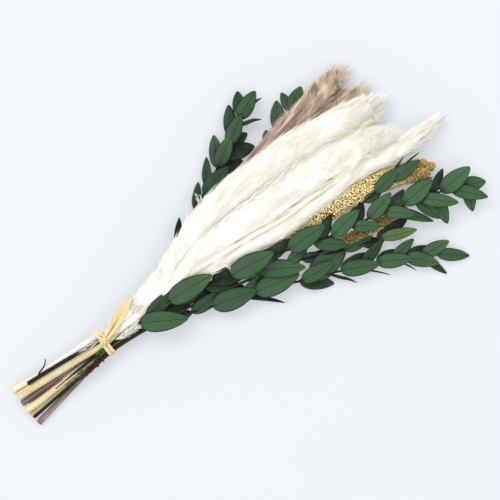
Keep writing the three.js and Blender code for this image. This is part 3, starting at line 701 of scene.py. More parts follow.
topSpray = {
    "route": [(-60, -8, 15.6), (-30, -5.6, 14.4), (0, -4.4, 13.5), (20, -4.4, 15), (40, -2.4, 16.8),
              (60, -0.8, 18.6), (112, -12.3, 20), (156, -20, 20.4), (183, -25.6, 20.4),
              (222, -37.5, 19.6), (256, -43.5, 18.4), (292, -51, 16.2), (325, -61.4, 12.6),
              (349, -70, 9)],
    "radii": (1.4, 0.8),
    "taper": 30.0,
    "shaded": {1: 0.3, 4: 0.12, 6: 0.12, 10: 0.0, 13: 0.2, 14: 0.35, 19: 0.1},
    "aged": {0: 0.3, 1: 0.5, 2: 0.75, 3: 0.72, 5: 0.5, 6: 0.1, 23: 0.2},
    "leaves": [
        (36, -31, 44, 19, 9, -6), (44, 8, 41, 13, 6, 10), (69, -2, 45, 20, 7, -6),
        (128, -5, 43, 20, 8, -5), (158, -2, 33, 14, 0, 25), (183, 0, 39, 18, 10, -4),
        (210, 27, 26, 12, 4, 25), (205, -41, 31, 14, 0, -8), (222, 9, 33, 15, 10, 0),
        (241, -32, 26, 11, 9, 0), (246, 38, 22, 10, -2, 10), (257, 11, 31, 14, 10, 0),
        (272, -36, 28, 12, 9, -4), (274, 14, 26, 9, 4, 10), (277, -5, 18, 8, 4, 0),
        (277, -47, 43, 10, 0, -8), (291, 3, 33, 17, 11, 0), (303, -73, 28, 13, 2, 0),
        (306, -42, 35, 13, 10, 0), (316, 27, 26, 10, 5, 20), (320, -104, 30, 13, 2, 0),
        (325, 6, 34, 17, 12, 0), (334, -48, 34, 13, 10, 0), (344, -22, 22, 14, 6, 0),
        (348, -112, 25, 12, 3, 0)],
}
topBranch = {
    "route": [(222, -37.5, 19.6), (236, -36, 20.4), (253, -31, 21), (275, -28, 20.8), (304, -25, 19)],
    "radii": (1.1, 0.7),
    "shaded": {0: 0.1, 4: 0.0, 5: 0.0},
    "leaves": [
        (243, 12, 18, 9, 0, 20), (263, -5, 19, 9, 0, 0), (276, 11, 30, 13, 9, 6),
        (292, -6, 33, 13, 9, 6), (294.5, 34, 23, 6, 5, -70), (301, 17, 28, 6, 6, -72)],
}

leafForm = {
    "rows": 17,          # along the blade
    "columns": 9,        # across it
    "footPower": 0.5,    # how round the blade is at its foot
    "tipPower": 0.78,    # and at its tip
    "thick": 0.22,       # half the blade at its middle
    "sag": 0.16,
    "perch": 0.36,       # how far a lifted blade stands off its stem, for each degree
    "footShare": 0.15,
    "fold": (0.04, 0.2),
    "cup": (0.0, 0.16),
    "bend": (-0.05, 0.05),
    "ripple": (0.0, 0.05),
    "phase": (0, 6.28),
    "groundZ": 0.45,
    "stackStep": 0.85,   # of blades that would lie in one another at the floor
    "pressed": 1.2,      # how far below a blade the hair under it stays
}


# Half width of a leaf as a share of its greatest: s to the footPower times (1 - s) to the
# tipPower, each against its value where the two balance
def leafOutline(s):
    foot, tip = leafForm["footPower"], leafForm["tipPower"]
    widest = foot / (foot + tip)
    held = np.clip(s, 0, 1)
    return np.maximum((held / widest) ** foot * ((1 - held) / (1 - widest)) ** tip, 0.03)


# Foot, directions and sizes of every leaf on a spray
def leafFrames(spray):
    x, bearing, length, width, lift, roll = np.array(spray["leaves"], float).T
    foot, _ = placeAtX(spray["route"], x)
    yaw, slope, lean = np.radians(bearing), np.radians(lift), np.radians(roll)
    flat = columnsOf(np.cos(yaw), np.sin(yaw), 0.0)
    across = columnsOf(-np.sin(yaw), np.cos(yaw), 0.0)
    forward = flat * np.cos(slope)[:, None] + up * np.sin(slope)[:, None]
    wide = across * np.cos(lean)[:, None] + np.cross(forward, across) * np.sin(lean)[:, None]
    return {
        "foot": foot, "forward": forward, "wide": wide, "square": np.cross(forward, wide),
        "length": length, "width": width, "lift": lift, "roll": roll,
        "floor": leafForm["groundZ"] + leafForm["stackStep"] * (np.arange(len(x)) % 3)}


# All the blades of one spray at once. A point is foot + forward * length * along, less the sag
# times along squared, plus wide * across * half width, with the halves folded up and the edges
# cupped down by shares of the half width, and a slow sideways bend.
def leafPart(spray, seed):
    f = leafFrames(spray)
    count = len(f["length"])
    rng = np.random.default_rng(seed)
    s = (1 - np.cos(np.pi * np.linspace(0, 1, leafForm["rows"]))) / 2 - 0.02
    v = np.linspace(-1, 1, leafForm["columns"])
    shape = (count, len(s), len(v))
    along = np.broadcast_to(s[None, :, None], shape)
    across = np.broadcast_to(v[None, None, :], shape)
    pick = lambda bounds: rng.uniform(*bounds, count)[:, None, None]
    fold, cup, bend, ripple, phase = (
        pick(leafForm[name]) for name in ("fold", "cup", "bend", "ripple", "phase"))
    length, width, lift, floor = (f[name][:, None, None] for name in ("length", "width", "lift", "floor"))
    foot, forward, wide, square = (f[name][:, None, None] for name in ("foot", "forward", "wide", "square"))
    half = leafOutline(along) * width / 2
    rise = -leafForm["sag"] * length * along ** 2
    rise = rise + half * (fold * np.abs(across) - cup * across ** 2)
    rise = rise + width * ripple * across ** 2 * np.sin(9 * along + phase)
    sideways = across * half + bend * length * along ** 2
    middle = (foot + forward * (length * along)[..., None]
              + wide * sideways[..., None] + square * rise[..., None])
    perch = leafForm["perch"] * lift * np.clip(along / leafForm["footShare"], 0, 1)
    middle[..., 2] = np.maximum(middle[..., 2] + perch, floor)
    depth = (leafForm["thick"] * (1 - 0.6 * np.abs(across) ** 3))[..., None] * square
    points = np.stack([middle + depth, middle - depth], axis=1)

    each = 2 * len(s) * len(v)
    faces = repeatFaces(bladeFaces(len(s), len(v)), count, each)
    both = lambda values: np.stack([values, values], axis=1).reshape(-1)
    age = np.minimum(rng.random(count), 0.8)
    # leaves that hang low or stand on edge are the dark ones in the shade
    lit = spray.get("lit", 0.62) + 0.03 * f["lift"] - 0.008 * np.abs(f["roll"])
    lit = lit + rng.uniform(-0.15, 0.2, count)
    for leaf, years in spray.get("aged", {}).items():
        age[leaf] = years
    for leaf, light in spray.get("shaded", {}).items():
        lit[leaf] = light
    flow = columnsOf(both(length * along), both(across * half), np.repeat(age, each))
    tone = np.repeat(np.clip(lit, 0.02, 1), each)
    return partOf(points.reshape(-1, 3), [faces], flow, both(along), both(np.abs(across)), tone)


twigForm = {"sides": 10, "stations": 110, "swell": 0.1, "swellLength": 1.6}


# The woody stem that carries the leaves, a little swollen where each of them leaves it
def sprigPart(spray, seed):
    t = np.linspace(0, 1, twigForm["stations"])
    places, headings = routeAt(spray["route"], t)
    start, end = spray["radii"]
    radius = start + (end - start) * t
    if "taper" in spray:
        radius = radius * np.clip((places[:, 0] - places[0, 0]) / spray["taper"], 0.35, 1)
    for leaf in spray["leaves"]:
        radius = radius * swelling(places[:, 0], leaf[0], twigForm["swellLength"], twigForm["swell"])
    angles = 2 * np.pi * np.arange(twigForm["sides"]) / twigForm["sides"]
    radii = radius[:, None] * (1 + 0.05 * np.cos(3 * angles + seed))
    return tubePart(places, headings, radii, 0.4, seed)


sprayOrder = {
    "leafy_stem_1": [topSpray, topBranch],
    "leafy_stem_2": [frontSpray, frontBranch],
    "leafy_stem_3": [leftSpray, leftTwig],
    "leafy_stem_4": [backSpray],
}

print("leafy stems")
for order, (name, sprays) in enumerate(sprayOrder.items()):
    blades = [leafPart(spray, 50 + 3 * order + k) for k, spray in enumerate(sprays) if spray["leaves"]]
    twigs = [sprigPart(spray, 1.0 + order + k) for k, spray in enumerate(sprays)]
    addPiece(name + "_leaves", blades, leafGreen, [name])
    addPiece(name + "_twig", twigs, straws["greenTwig"], [name])


# Plumes. A station is (x, y, z, half width, half height), as in the solids.

whitePlumes = [
    [(plumeStartX + 0.4, 8.4, 9.9, 2.6, 2.6), (60, 16.8, 14.8, 6, 4), (80, 20.6, 17.4, 7.2, 4.8),
     (95, 26.8, 19.4, 7.8, 5.6), (110, 33.4, 21, 8, 6.2), (150, 43.2, 23, 12, 7), (190, 45.5, 23.2, 13, 7.4),
     (235, 46, 23.2, 13.4, 7.6), (280, 43, 21.4, 12, 7.2), (308, 40.6, 16.4, 8.6, 5.6),
     (326, 38.6, 12, 4.2, 3.2)],
    [(plumeStartX + 0.4, -0.2, 4.3, 2.4, 2.4), (60, 8.5, 6.2, 2.6, 2.6), (80, 15.5, 9.8, 3.6, 3.2),
     (110, 23, 11.4, 6.6, 5.4), (150, 30, 11.8, 9.4, 6), (190, 31, 11.2, 10.2, 6.2),
     (235, 31.8, 11, 10.6, 6.2), (275, 30.4, 10.6, 9.8, 6), (304, 29.8, 9.6, 7.6, 5),
     (320, 29.8, 8.6, 4.2, 3.2)],
    [(plumeStartX + 0.4, -2.8, 8.8, 2.6, 2.6), (60, 1.5, 9.8, 3.4, 3), (80, 3, 10.8, 4.6, 3.8),
     (110, 2.8, 12.4, 7, 5.4), (150, 0.4, 13, 9.8, 6.8), (190, -3.2, 13.6, 11.6, 7.4),
     (235, -1.2, 14, 11.2, 7.6), (280, -1.2, 13.6, 9.8, 7), (312, -8.2, 12, 8.2, 6),
     (340, -9, 10, 6, 4.8), (358, -7.4, 8.8, 3, 2.6)],
    [(plumeStartX + 0.4, 2.8, 13.4, 2.8, 2.8), (60, 6.6, 17, 3.6, 3.4), (80, 10.4, 19.4, 4.8, 4.4),
     (110, 16.6, 21.8, 7.4, 5.8), (150, 18.2, 24.6, 12, 7), (190, 17.4, 25.8, 13.6, 7.4),
     (235, 17.8, 25.6, 13.8, 7.4), (275, 16, 22.2, 12.8, 6.8), (298, 11.6, 18, 10, 5.8),
     (316, 7, 14.4, 4.8, 3.6)],
]
taupePlumes = [
    [(146.4, 45, 8.4, 2.3, 2.3), (170, 49.8, 9, 4.2, 3.6), (200, 56.4, 8.8, 6.4, 4.4),
     (243, 64.2, 9.2, 8.8, 5.8), (283, 71.4, 9.4, 10.8, 6.6), (300, 74.6, 9, 10.2, 5.8),
     (311, 77, 8, 6.4, 3.6)],
    [(150.4, 36.8, 5.2, 2.2, 2.2), (172, 41.2, 5, 3.4, 3.2), (200, 45.2, 6, 4.4, 4.4),
     (243, 49.4, 7.4, 6.2, 5.4), (283, 53.4, 7.8, 8.2, 5.8), (303, 55, 7.6, 8, 5), (317, 54, 7, 4.2, 3)],
]

# Clump: hairs in one. Length: millimetres. Root and tip: a hair's reach there, as a share of the
# outline. Sweep: random turn round the plume, in radians. Lean: share of the turn that a hair
# loses. Core: reach of the soft body. Fan: widening at the plume's end. Cross: more reach on the
# upper flanks. End and fade: where hairs stop. Loose: more reach of loose clumps. Shades: spread
# of tones in a lock. Draw: how far the hairs of a clump close up.
plumeForm = {
    "white": {
        "clump": 5, "locks": 300, "length": (14, 34), "thick": 0.18, "root": 0.8, "tip": (0.93, 1.09),
        "sweep": 0.5, "lean": (-0.15, 0.5), "curl": 0.9, "core": 0.89, "fan": 0.7, "cross": 0.5,
        "end": 1.05, "fade": 0.17, "loose": 0.3, "shades": 0.28, "tones": (0.6, 1.0), "wave": 0.14,
        "spread": 0.3, "draw": 0.45}}
# low tones darken the web hair: painted shade in the grooves
plumeForm["web"] = {
    **plumeForm["white"], "locks": 60, "length": (22, 44), "thick": 0.2, "root": 0.7, "tip": (0.9, 1.15),
    "sweep": 0.6, "lean": (-0.3, 0.5), "core": 0.85, "fan": 0.3, "cross": 0.0, "end": 1.03, "fade": 0.2,
    "loose": 0.2, "shades": 0.3, "tones": (0.3, 0.8), "wave": 0.1, "spread": 0.4, "draw": 0.4}
plumeForm["taupe"] = {
    **plumeForm["white"], "clump": 4, "locks": 220, "length": (16, 34), "root": 0.6, "tip": (0.85, 1.15),
    "sweep": 0.2, "lean": (0.1, 0.5), "curl": 0.8, "core": 0.74, "fan": 0.6, "cross": 0.4, "fade": 0.16,
    "loose": 0.4, "shades": 0.2, "tones": (0.0, 1.1), "wave": 0.05, "spread": 0.1, "draw": 0.75}

hairCounts = {"white": (7600, 3800, 7600, 8200), "taupe": (5200, 4600), "web": 1550}
fuzzCounts = {"white": 1000, "taupe": 900, "fluff": 330}

# soft bridges of hair over the grooves beside the uppermost plume; their beige colour and low tones are
# painted shade of the grooves
plumeWebs = [
    [(34, 7.6, 13, 3, 2.6), (60, 11.7, 15.6, 4.4, 4), (80, 15.6, 17.4, 5.6, 4.6), (96, 20.4, 18.8, 6, 5),
     (112, 26, 20, 6.6, 5), (130, 29.4, 20.8, 7.2, 5.2), (150, 32, 21.4, 7.6, 5.4),
     (190, 32.6, 21.6, 8, 5.4), (235, 33, 21.4, 8, 5.4), (280, 31, 19, 8, 5.4), (304, 28, 15.6, 6, 4.6),
     (320, 27, 12.8, 3, 2.6)],
    [(34, 0.4, 12.2, 3, 2.4), (60, 3.8, 13.8, 3.6, 3), (80, 6.4, 15.4, 4.4, 3.6), (100, 8.8, 16.6, 5.2, 4.2),
     (114, 9.2, 17.2, 5.6, 4.6), (130, 8.6, 17.8, 5.8, 4.8), (150, 7.6, 18.2, 6, 5),
     (190, 4.4, 19, 6.8, 5.4), (235, 5.6, 19.2, 7.6, 5.8), (280, 5, 17.2, 7.2, 5.2), (304, 3, 14.4, 5, 4),
     (324, 0.6, 12, 2.8, 2.4)],
]


# A point of a plume at share t along it, turned by angle round it and at reach times its
# outline: place + half width * reach * cos angle * side + half height * reach * sin angle * top,
# with the corners filled out, since plumes that lie together press each other flat
def plumeSurface(stations, t, angle, reach):
    stations = np.asarray(stations, float)
    place, heading = routeAt(stations[:, :3], t)
    side, top = sidesOf(heading)
    sizes, _ = routeAt(stations[:, [0, 3, 4]], np.clip(t, 0, 1))
    reach = reach * (np.cos(angle) ** 4 + np.sin(angle) ** 4) ** -0.25
    across = (sizes[..., 1] * reach * np.cos(angle))[..., None]
    above = (sizes[..., 2] * reach * np.sin(angle))[..., None]
    outward = unit(side * (np.cos(angle) / sizes[..., 1])[..., None]
                   + top * (np.sin(angle) / sizes[..., 2])[..., None])
    return place + side * across + top * above, outward


# The soft body under the hairs: a closed skin at the core's share of the outline, which
# narrows before the tip
def plumeCore(stations, form):
    sides, count = 20, 60
    t = np.linspace(0, 0.95, count)
    reach = form["core"] * np.minimum(1, 0.3 + 4.5 * (0.97 - t))[:, None]
    reach = reach + (1 - form["core"]) * np.clip(1 - t / 0.1, 0, 1)[:, None]
    angle = np.broadcast_to(2 * np.pi * np.arange(sides) / sides, (count, sides))
    grid = np.broadcast_to(t[:, None], (count, sides))
    rings, outward = plumeSurface(stations, grid, angle, np.broadcast_to(reach, (count, sides)))
    ends, _ = routeAt(np.asarray(stations, float)[:, :3], t[[0, -1]])
    points = np.concatenate([rings.reshape(-1, 3), ends])
    flow = columnsOf(points[:, 0], points[:, 1], 0.0)
    normals = np.concatenate([outward.reshape(-1, 3), [[-1, 0, 0], [1, 0, 0]]])
    # its share and tone give the body some of the deep colour, painted shade under the hairs
    return partOf(points, ringFaces(count, sides), flow, 0.35, 0.0, 0.75, normals)


clumpForm = {
    "startPower": 0.85,         # locks stand a little closer towards the tip
    "lastStart": 0.96,          # where the last of them starts
    "scatter": 0.02,            # of a clump's start round its lock's
    "stray": (0.004, 0.08),     # of a hair's start and turn in its clump
    "looseShare": 0.14,         # of the clumps stand off the others
    "freeFrom": 0.78,           # share of the plume from which the hairs spread
    "wiggle": 0.16,             # millimetres
    "groundZ": 0.5}


# Hairs in clumps, and clumps in locks. A lock has its own start, turn, length, lean and tone.
# A clump starts near it and shifts them a little; its hairs draw together towards their tips,
# but near the plume's end they spread instead, and end at different lengths, so that it fades.
# Seen along a hair, the share t grows evenly, the reach rises from the root's to the tip's, and
# the angle, counted from the +Y side, shrinks by the lean, so that the tips drift to that side,
# and sways by a slow wave. Hairs on the upper flanks reach across to the plume beside.
def plumeHairs(stations, form, hairs, seed):
    rng = np.random.default_rng(seed)
    locks = form["locks"]
    clumps = hairs // form["clump"]
    stations = np.asarray(stations, float)
    length = np.linalg.norm(np.diff(stations[:, :3], axis=0), axis=1).sum()
    lockStart = ((np.arange(locks) + rng.random(locks)) / locks) ** clumpForm["startPower"]
    lockStart = lockStart * clumpForm["lastStart"]
    lockTurn = (np.arange(locks) * goldenAngle + rng.uniform(-0.4, 0.4, locks) + np.pi) % (2 * np.pi) - np.pi
    sizes, _ = routeAt(stations[:, [0, 3, 4]], lockStart)
    weight = sizes[:, 1] + sizes[:, 2] + 3
    home = rng.choice(locks, clumps, p=weight / weight.sum())
    spot = rng.normal(0, 1, (clumps, 2))
    clump = {
        "start": np.maximum(lockStart[home] + clumpForm["scatter"] * spot[:, 0], 0.0),
        "turn": lockTurn[home] + form["spread"] * spot[:, 1],
        "length": rng.uniform(*form["length"], locks)[home] / length * rng.uniform(0.7, 1.1, clumps),
        "reach": rng.uniform(*form["tip"], locks)[home] + rng.normal(0, 0.05, clumps),
        "lean": rng.uniform(*form["lean"], locks)[home],
        "sweep": rng.normal(0, form["sweep"], locks)[home] + rng.normal(0, 0.1, clumps),
        "tone": rng.uniform(*form["tones"], locks)[home] + rng.normal(0, form["shades"], clumps),
    }
    flank = np.clip(np.sin(clump["turn"]) + 0.25, 0, 1) * np.abs(np.cos(clump["turn"]))
    loose = (rng.random(clumps) < clumpForm["looseShare"]) * rng.uniform(0.0, form["loose"], clumps)
    clump["reach"] = clump["reach"] + form["cross"] * flank * rng.random(clumps) + loose
    last = form["end"] - form["fade"] * rng.random(clumps) ** 2
    clump["length"] = np.minimum(clump["length"], np.maximum(last - clump["start"], 0.035))
    clump["fan"] = form["fan"] * rng.uniform(0.2, 1.0, clumps)
    owner = rng.integers(0, clumps, hairs)
    each = {name: values[owner][:, None] for name, values in clump.items()}
    s = np.linspace(0, 1, 4)[None, :]
    stray = rng.normal(0, 1, (hairs, 2)) * clumpForm["stray"]
    reached = each["length"] * rng.uniform(0.72, 1.1, (hairs, 1))
    t = each["start"] + stray[:, :1] + reached * s
    free = np.clip((each["start"] + reached - clumpForm["freeFrom"]) / 0.2, 0, 1)
    draw = 1 - s * (form["draw"] - 1.5 * free)
    turn = each["turn"] + stray[:, 1:] * draw
    reach = form["root"] + (each["reach"] - form["root"]) * s ** form["curl"]
    reach = reach * (1 + each["fan"] * np.clip((t - 0.82) / 0.18, 0, 1.3))
    angle = turn * (1 - each["lean"] * s) + each["sweep"] * s ** 1.5
    angle = angle + form["wave"] * np.sin(t * length / 9 + 2 * each["turn"])
    paths, outward = plumeSurface(stations, np.maximum(t, 0.0), angle, reach)
    paths = paths + rng.normal(0, clumpForm["wiggle"], paths.shape) * (s * (1 + 2.5 * free))[..., None]
    paths[..., 2] = np.maximum(paths[..., 2], clumpForm["groundZ"])
    thick = form["thick"] * rng.uniform(0.7, 1.25, (hairs, 1)) * (1 - 0.85 * s) * (1 - 0.35 * free)
    tone = np.clip(each["tone"][:, 0] + rng.normal(0, 0.1, hairs), 0, 1)
    flow = columnsOf(paths[:, 0, 0], paths[:, 0, 1], rng.random(hairs))
    return paths, thick, flow, tone, outward


# The uppermost leaves lie on the plumes and press their hairs down: under a blade no hair
# stands higher than just below it
def pressUnder(paths):
    for spray in (topSpray, topBranch):
        f = leafFrames(spray)
        for k in range(len(f["length"])):
            away = paths - f["foot"][k]
            s = away @ f["forward"][k] / f["length"][k]
            v = away @ f["wide"][k] / (leafOutline(s) * f["width"][k] / 2)
            under = (s > 0.0) & (s < 1.0) & (np.abs(v) < 1.0)
            perch = leafForm["perch"] * f["lift"][k] * np.clip(s / leafForm["footShare"], 0, 1)
            sag = leafForm["sag"] * f["length"][k] * s ** 2
            blade = f["foot"][k, 2] + f["forward"][k, 2] * f["length"][k] * s + perch - sag
            limit = np.maximum(blade - leafForm["pressed"], clumpForm["groundZ"])
            paths[..., 2] = np.where(under, np.minimum(paths[..., 2], limit), paths[..., 2])
    return paths


def plumeParts(stations, form, hairs, seed):
    paths, thick, flow, tone, outward = plumeHairs(stations, form, hairs, seed)
    return [hairPart(pressUnder(paths), thick, flow, tone, outward), plumeCore(stations, form)]


# Fuzz: thin short hairs that stand off the outline of a plume, and longer wisps at its end

fuzzForm = {
    "atEnd": 0.5, "thick": 0.1,
    "length": (4, 10), "rise": (0.1, 0.6),
    "endLength": (7, 19), "endRise": (-0.1, 0.5)}


# Each hair runs on from its foot in the plume's direction and bends outward by its rise:
# place = foot + length * s * heading + length * rise * s to the power 1.4 * outward
def plumeFuzz(stations, count, seed):
    rng = np.random.default_rng(seed)
    form = fuzzForm
    stations = np.asarray(stations, float)
    atEnd = rng.random(count) < form["atEnd"]
    start = np.where(atEnd, rng.uniform(0.84, 1.0, count), rng.uniform(0.03, 0.9, count))
    long = np.where(atEnd, rng.uniform(*form["endLength"], count), rng.uniform(*form["length"], count))
    rise = np.where(atEnd, rng.uniform(*form["endRise"], count), rng.uniform(*form["rise"], count))
    reach = np.where(atEnd, rng.uniform(0.2, 0.95, count), 0.9)
    foot, outward = plumeSurface(stations, start, rng.uniform(-np.pi, np.pi, count), reach)
    heading = routeAt(stations[:, :3], start)[1]
    s = np.linspace(0, 1, 3)
    run = long[:, None] * s
    bend = (long * rise)[:, None] * s ** 1.4
    paths = foot[:, None] + heading[:, None] * run[..., None] + outward[:, None] * bend[..., None]
    paths = paths + rng.normal(0, 0.05, paths.shape) * run[..., None]
    paths[..., 2] = np.maximum(paths[..., 2], clumpForm["groundZ"])
    thick = form["thick"] * rng.uniform(0.7, 1.2, (count, 1)) * (1 - 0.8 * s)
    flow = columnsOf(foot[:, 0], foot[:, 1], rng.random(count))
    tone = rng.uniform(0.5, 1.0, count)
    outward = np.broadcast_to(outward[:, None], paths.shape)
    return hairPart(pressUnder(paths), thick, flow, tone, outward)


print("plumes")
for kind, plumes, seed in (("white", whitePlumes, 100), ("taupe", taupePlumes, 200)):
    for k, stations in enumerate(plumes):
        parts = plumeParts(stations, plumeForm[kind], hairCounts[kind][k], seed + k)
        parts.append(plumeFuzz(stations, fuzzCounts[kind], seed + 40 + k))
        plume = f"{kind}_plume_{k + 1}"
        addPiece(plume + "_hair", parts, furs[kind + "Hair"], [plume])

webParts = []
for k, web in enumerate(plumeWebs):
    webParts += plumeParts(web, plumeForm["web"], hairCounts["web"], 120 + k)
addPiece("white_plume_web", webParts, furs["grooveShadeHair"], ["white_plume_4"])


# Fluff: short fine hairs shed by the plumes, caught on the stems and over the edges of the
# leaves. Each patch has stations like a plume's; only the large ones have a soft body.

fluffForm = {
    "clump": 3, "locks": 40, "length": (7, 17), "thick": 0.12, "root": 0.3, "tip": (0.7, 1.3),
    "sweep": 0.25, "lean": (-0.2, 0.2), "curl": 0.7, "core": 0.74, "fan": 0.3, "cross": 0.2,
    "end": 1.25, "fade": 0.4, "loose": 0.7, "shades": 0.3, "tones": (0.5, 1.0), "wave": 0.03,
    "spread": 0.4, "draw": 0.3}

fluffPatches = [
    # hairs, stations
    (460, [(-76, 12.4, 9, 0.8, 0.8), (-50, 11.4, 9.6, 1.8, 1.2), (-25, 10.2, 10, 2.6, 1.7),
           (-2, 8.4, 10.8, 2.6, 2)]),
    (130, [(-3, 4.8, 15, 1.2, 0.5), (-12, 5.6, 15, 2.0, 0.6), (-23, 6.6, 14.4, 1.6, 0.5)]),
    (520, [(4, 6, 11, 1.6, 1.6), (14, 8.4, 13, 4.4, 3), (26, 10.6, 15.6, 6, 3.6), (42, 13.4, 17.4, 6, 4)]),
    (420, [(5, 2.6, 13.2, 1.2, 1), (14, 3, 14.4, 2.8, 2.2), (27, 3.4, 15.8, 4, 3),
           (46, 5.4, 16.8, 4.2, 3.4)]),
    (420, [(9, -2.6, 16.6, 0.8, 0.5), (17, -4, 17.2, 2.4, 0.9), (26, -4.6, 18, 3.6, 1.1),
           (35, -3.4, 18.8, 3.6, 1.2)]),
    (70, [(138, 48, 27, 2.6, 2), (143, 55, 26, 3, 2), (145, 62, 22, 2.4, 1.4)]),
    (70, [(124, 3, 23, 2.6, 2), (129, -3, 23, 3, 1.8), (132, -10, 21.4, 2.4, 1.2)]),
]
fullPatches = (0, 2, 3)  # those with a soft body and fuzz

print("fluff")
fluffParts = []
for k, (hairs, stations) in enumerate(fluffPatches):
    parts = plumeParts(stations, fluffForm, hairs, 300 + k)
    if k in fullPatches:
        fluffParts += parts + [plumeFuzz(stations, fuzzCounts["fluff"], 320 + k)]
    else:
        fluffParts += parts[:1]
addPiece("plume_fluff", fluffParts, furs["whiteHair"])


# Moss: short blunt flakes stuck to the front stems near the tie, brown ones and green ones

mossPatches = [
    {"flakes": 70, "green": 0.0, "route": [(-30, -12, 12), (-18, -10.4, 13.4), (-8, -8.6, 14.2)],
     "spread": (2.2, 0.9), "length": (1.6, 4), "thick": 0.8},
    {"flakes": 46, "green": 0.9, "route": [(-12, -4.4, 13.6), (-8, -4, 14.4), (-4, -3.8, 15)],
     "spread": (1.5, 0.8), "length": (1.5, 3.4), "thick": 0.5},
    {"flakes": 26, "green": 0.9, "route": [(-35, -10.4, 13), (-32, -10, 13.4)],
     "spread": (1.3, 0.7), "length": (1.4, 3), "thick": 0.5},
    {"flakes": 60, "green": 0.25, "route": [(-52, -12.6, 10.8), (-40, -11.6, 12), (-26, -9.8, 13)],
     "spread": (2.4, 0.8), "length": (1.6, 4), "thick": 0.36}]


# A flake leaves its place on the route in a random direction, mostly along the stem
def mossPart(patch, seed):
    rng = np.random.default_rng(seed)
    count = patch["flakes"]
    place, heading = routeAt(patch["route"], rng.random(count))
    side, top = sidesOf(heading)
    across, above = patch["spread"]
    root = place + side * (across * rng.uniform(-1, 1, (count, 1)))
    root = root + top * (above * rng.uniform(-1, 1, (count, 1)))
    way = unit(heading * rng.normal(0, 1.0, (count, 1)) + side * rng.normal(0, 0.6, (count, 1))
               + top * rng.normal(0.1, 0.3, (count, 1)))
    long = rng.uniform(*patch["length"], (count, 1, 1))
    s = np.linspace(0, 1, 4)
    paths = root[:, None] + way[:, None] * long * s[:, None] + top[:, None] * (0.5 * np.sin(3 * s))[:, None]
    thick = patch["thick"] * rng.uniform(0.5, 1.3, (count, 1)) * (1 - 0.5 * s)
    flow = columnsOf(root[:, 0], root[:, 1], rng.random(count))
    green = 0.5 * rng.random(count) + 0.5 * (rng.random(count) < patch["green"])
    return hairPart(paths, thick, flow, green, np.broadcast_to(top[:, None], paths.shape))


mossParts = [mossPart(patch, 11 + k) for k, patch in enumerate(mossPatches)]
addPiece("stem_moss", mossParts, mossFlakes)


# Seed heads: clusters of small round seeds on a spindle. Ripe gives the shares of the head's
# length between which its seeds darken.

seedHeads = {
    "millet_head_1": {
        "route": [(189.5, -15.2, 9), (235, -17.6, 10.2), (271, -20, 10.4), (304, -28, 10.4),
                  (333, -38, 10.2)],
        "radius": 9.2, "clusters": 540, "seeds": 15, "ripe": (0.6, 0.9), "tones": (0.2, 1.0), "seed": 7},
    "millet_head_2": {
        "route": [(212.5, -44.5, 7.5), (240, -50.2, 7.4), (269, -54, 7.2), (300, -49, 7.4),
                  (325, -45, 7.6)],
        "radius": 4.1, "clusters": 230, "seeds": 11, "ripe": (-0.6, 0.2), "tones": (-0.2, 0.6), "seed": 8},
}

seedForm = {
    "length": 0.84, "width": 0.66, "clusterSize": 2.15, "sides": 5, "scatter": 0.8, "closeFrom": 0.955}


# Radius of a head at share t: it swells from its stalk and rounds off at its tip
def headRadius(head, t):
    tip = np.clip((t - 0.8) / 0.2, 0, 1)
    return head["radius"] * np.minimum(1, 0.5 + 2.5 * t) * np.sqrt(np.maximum(0.06, 1 - tip ** 2))


# The spindle under the seeds; its dark colour is partly painted shade in the gaps between them
def headCore(head):
    sides, count = 18, 50
    t = np.linspace(0, 1, count)
    places, headings = routeAt(head["route"], t)
    radii = np.broadcast_to(0.84 * headRadius(head, t)[:, None], (count, sides))
    return tubePart(places, headings, radii, 0.0)


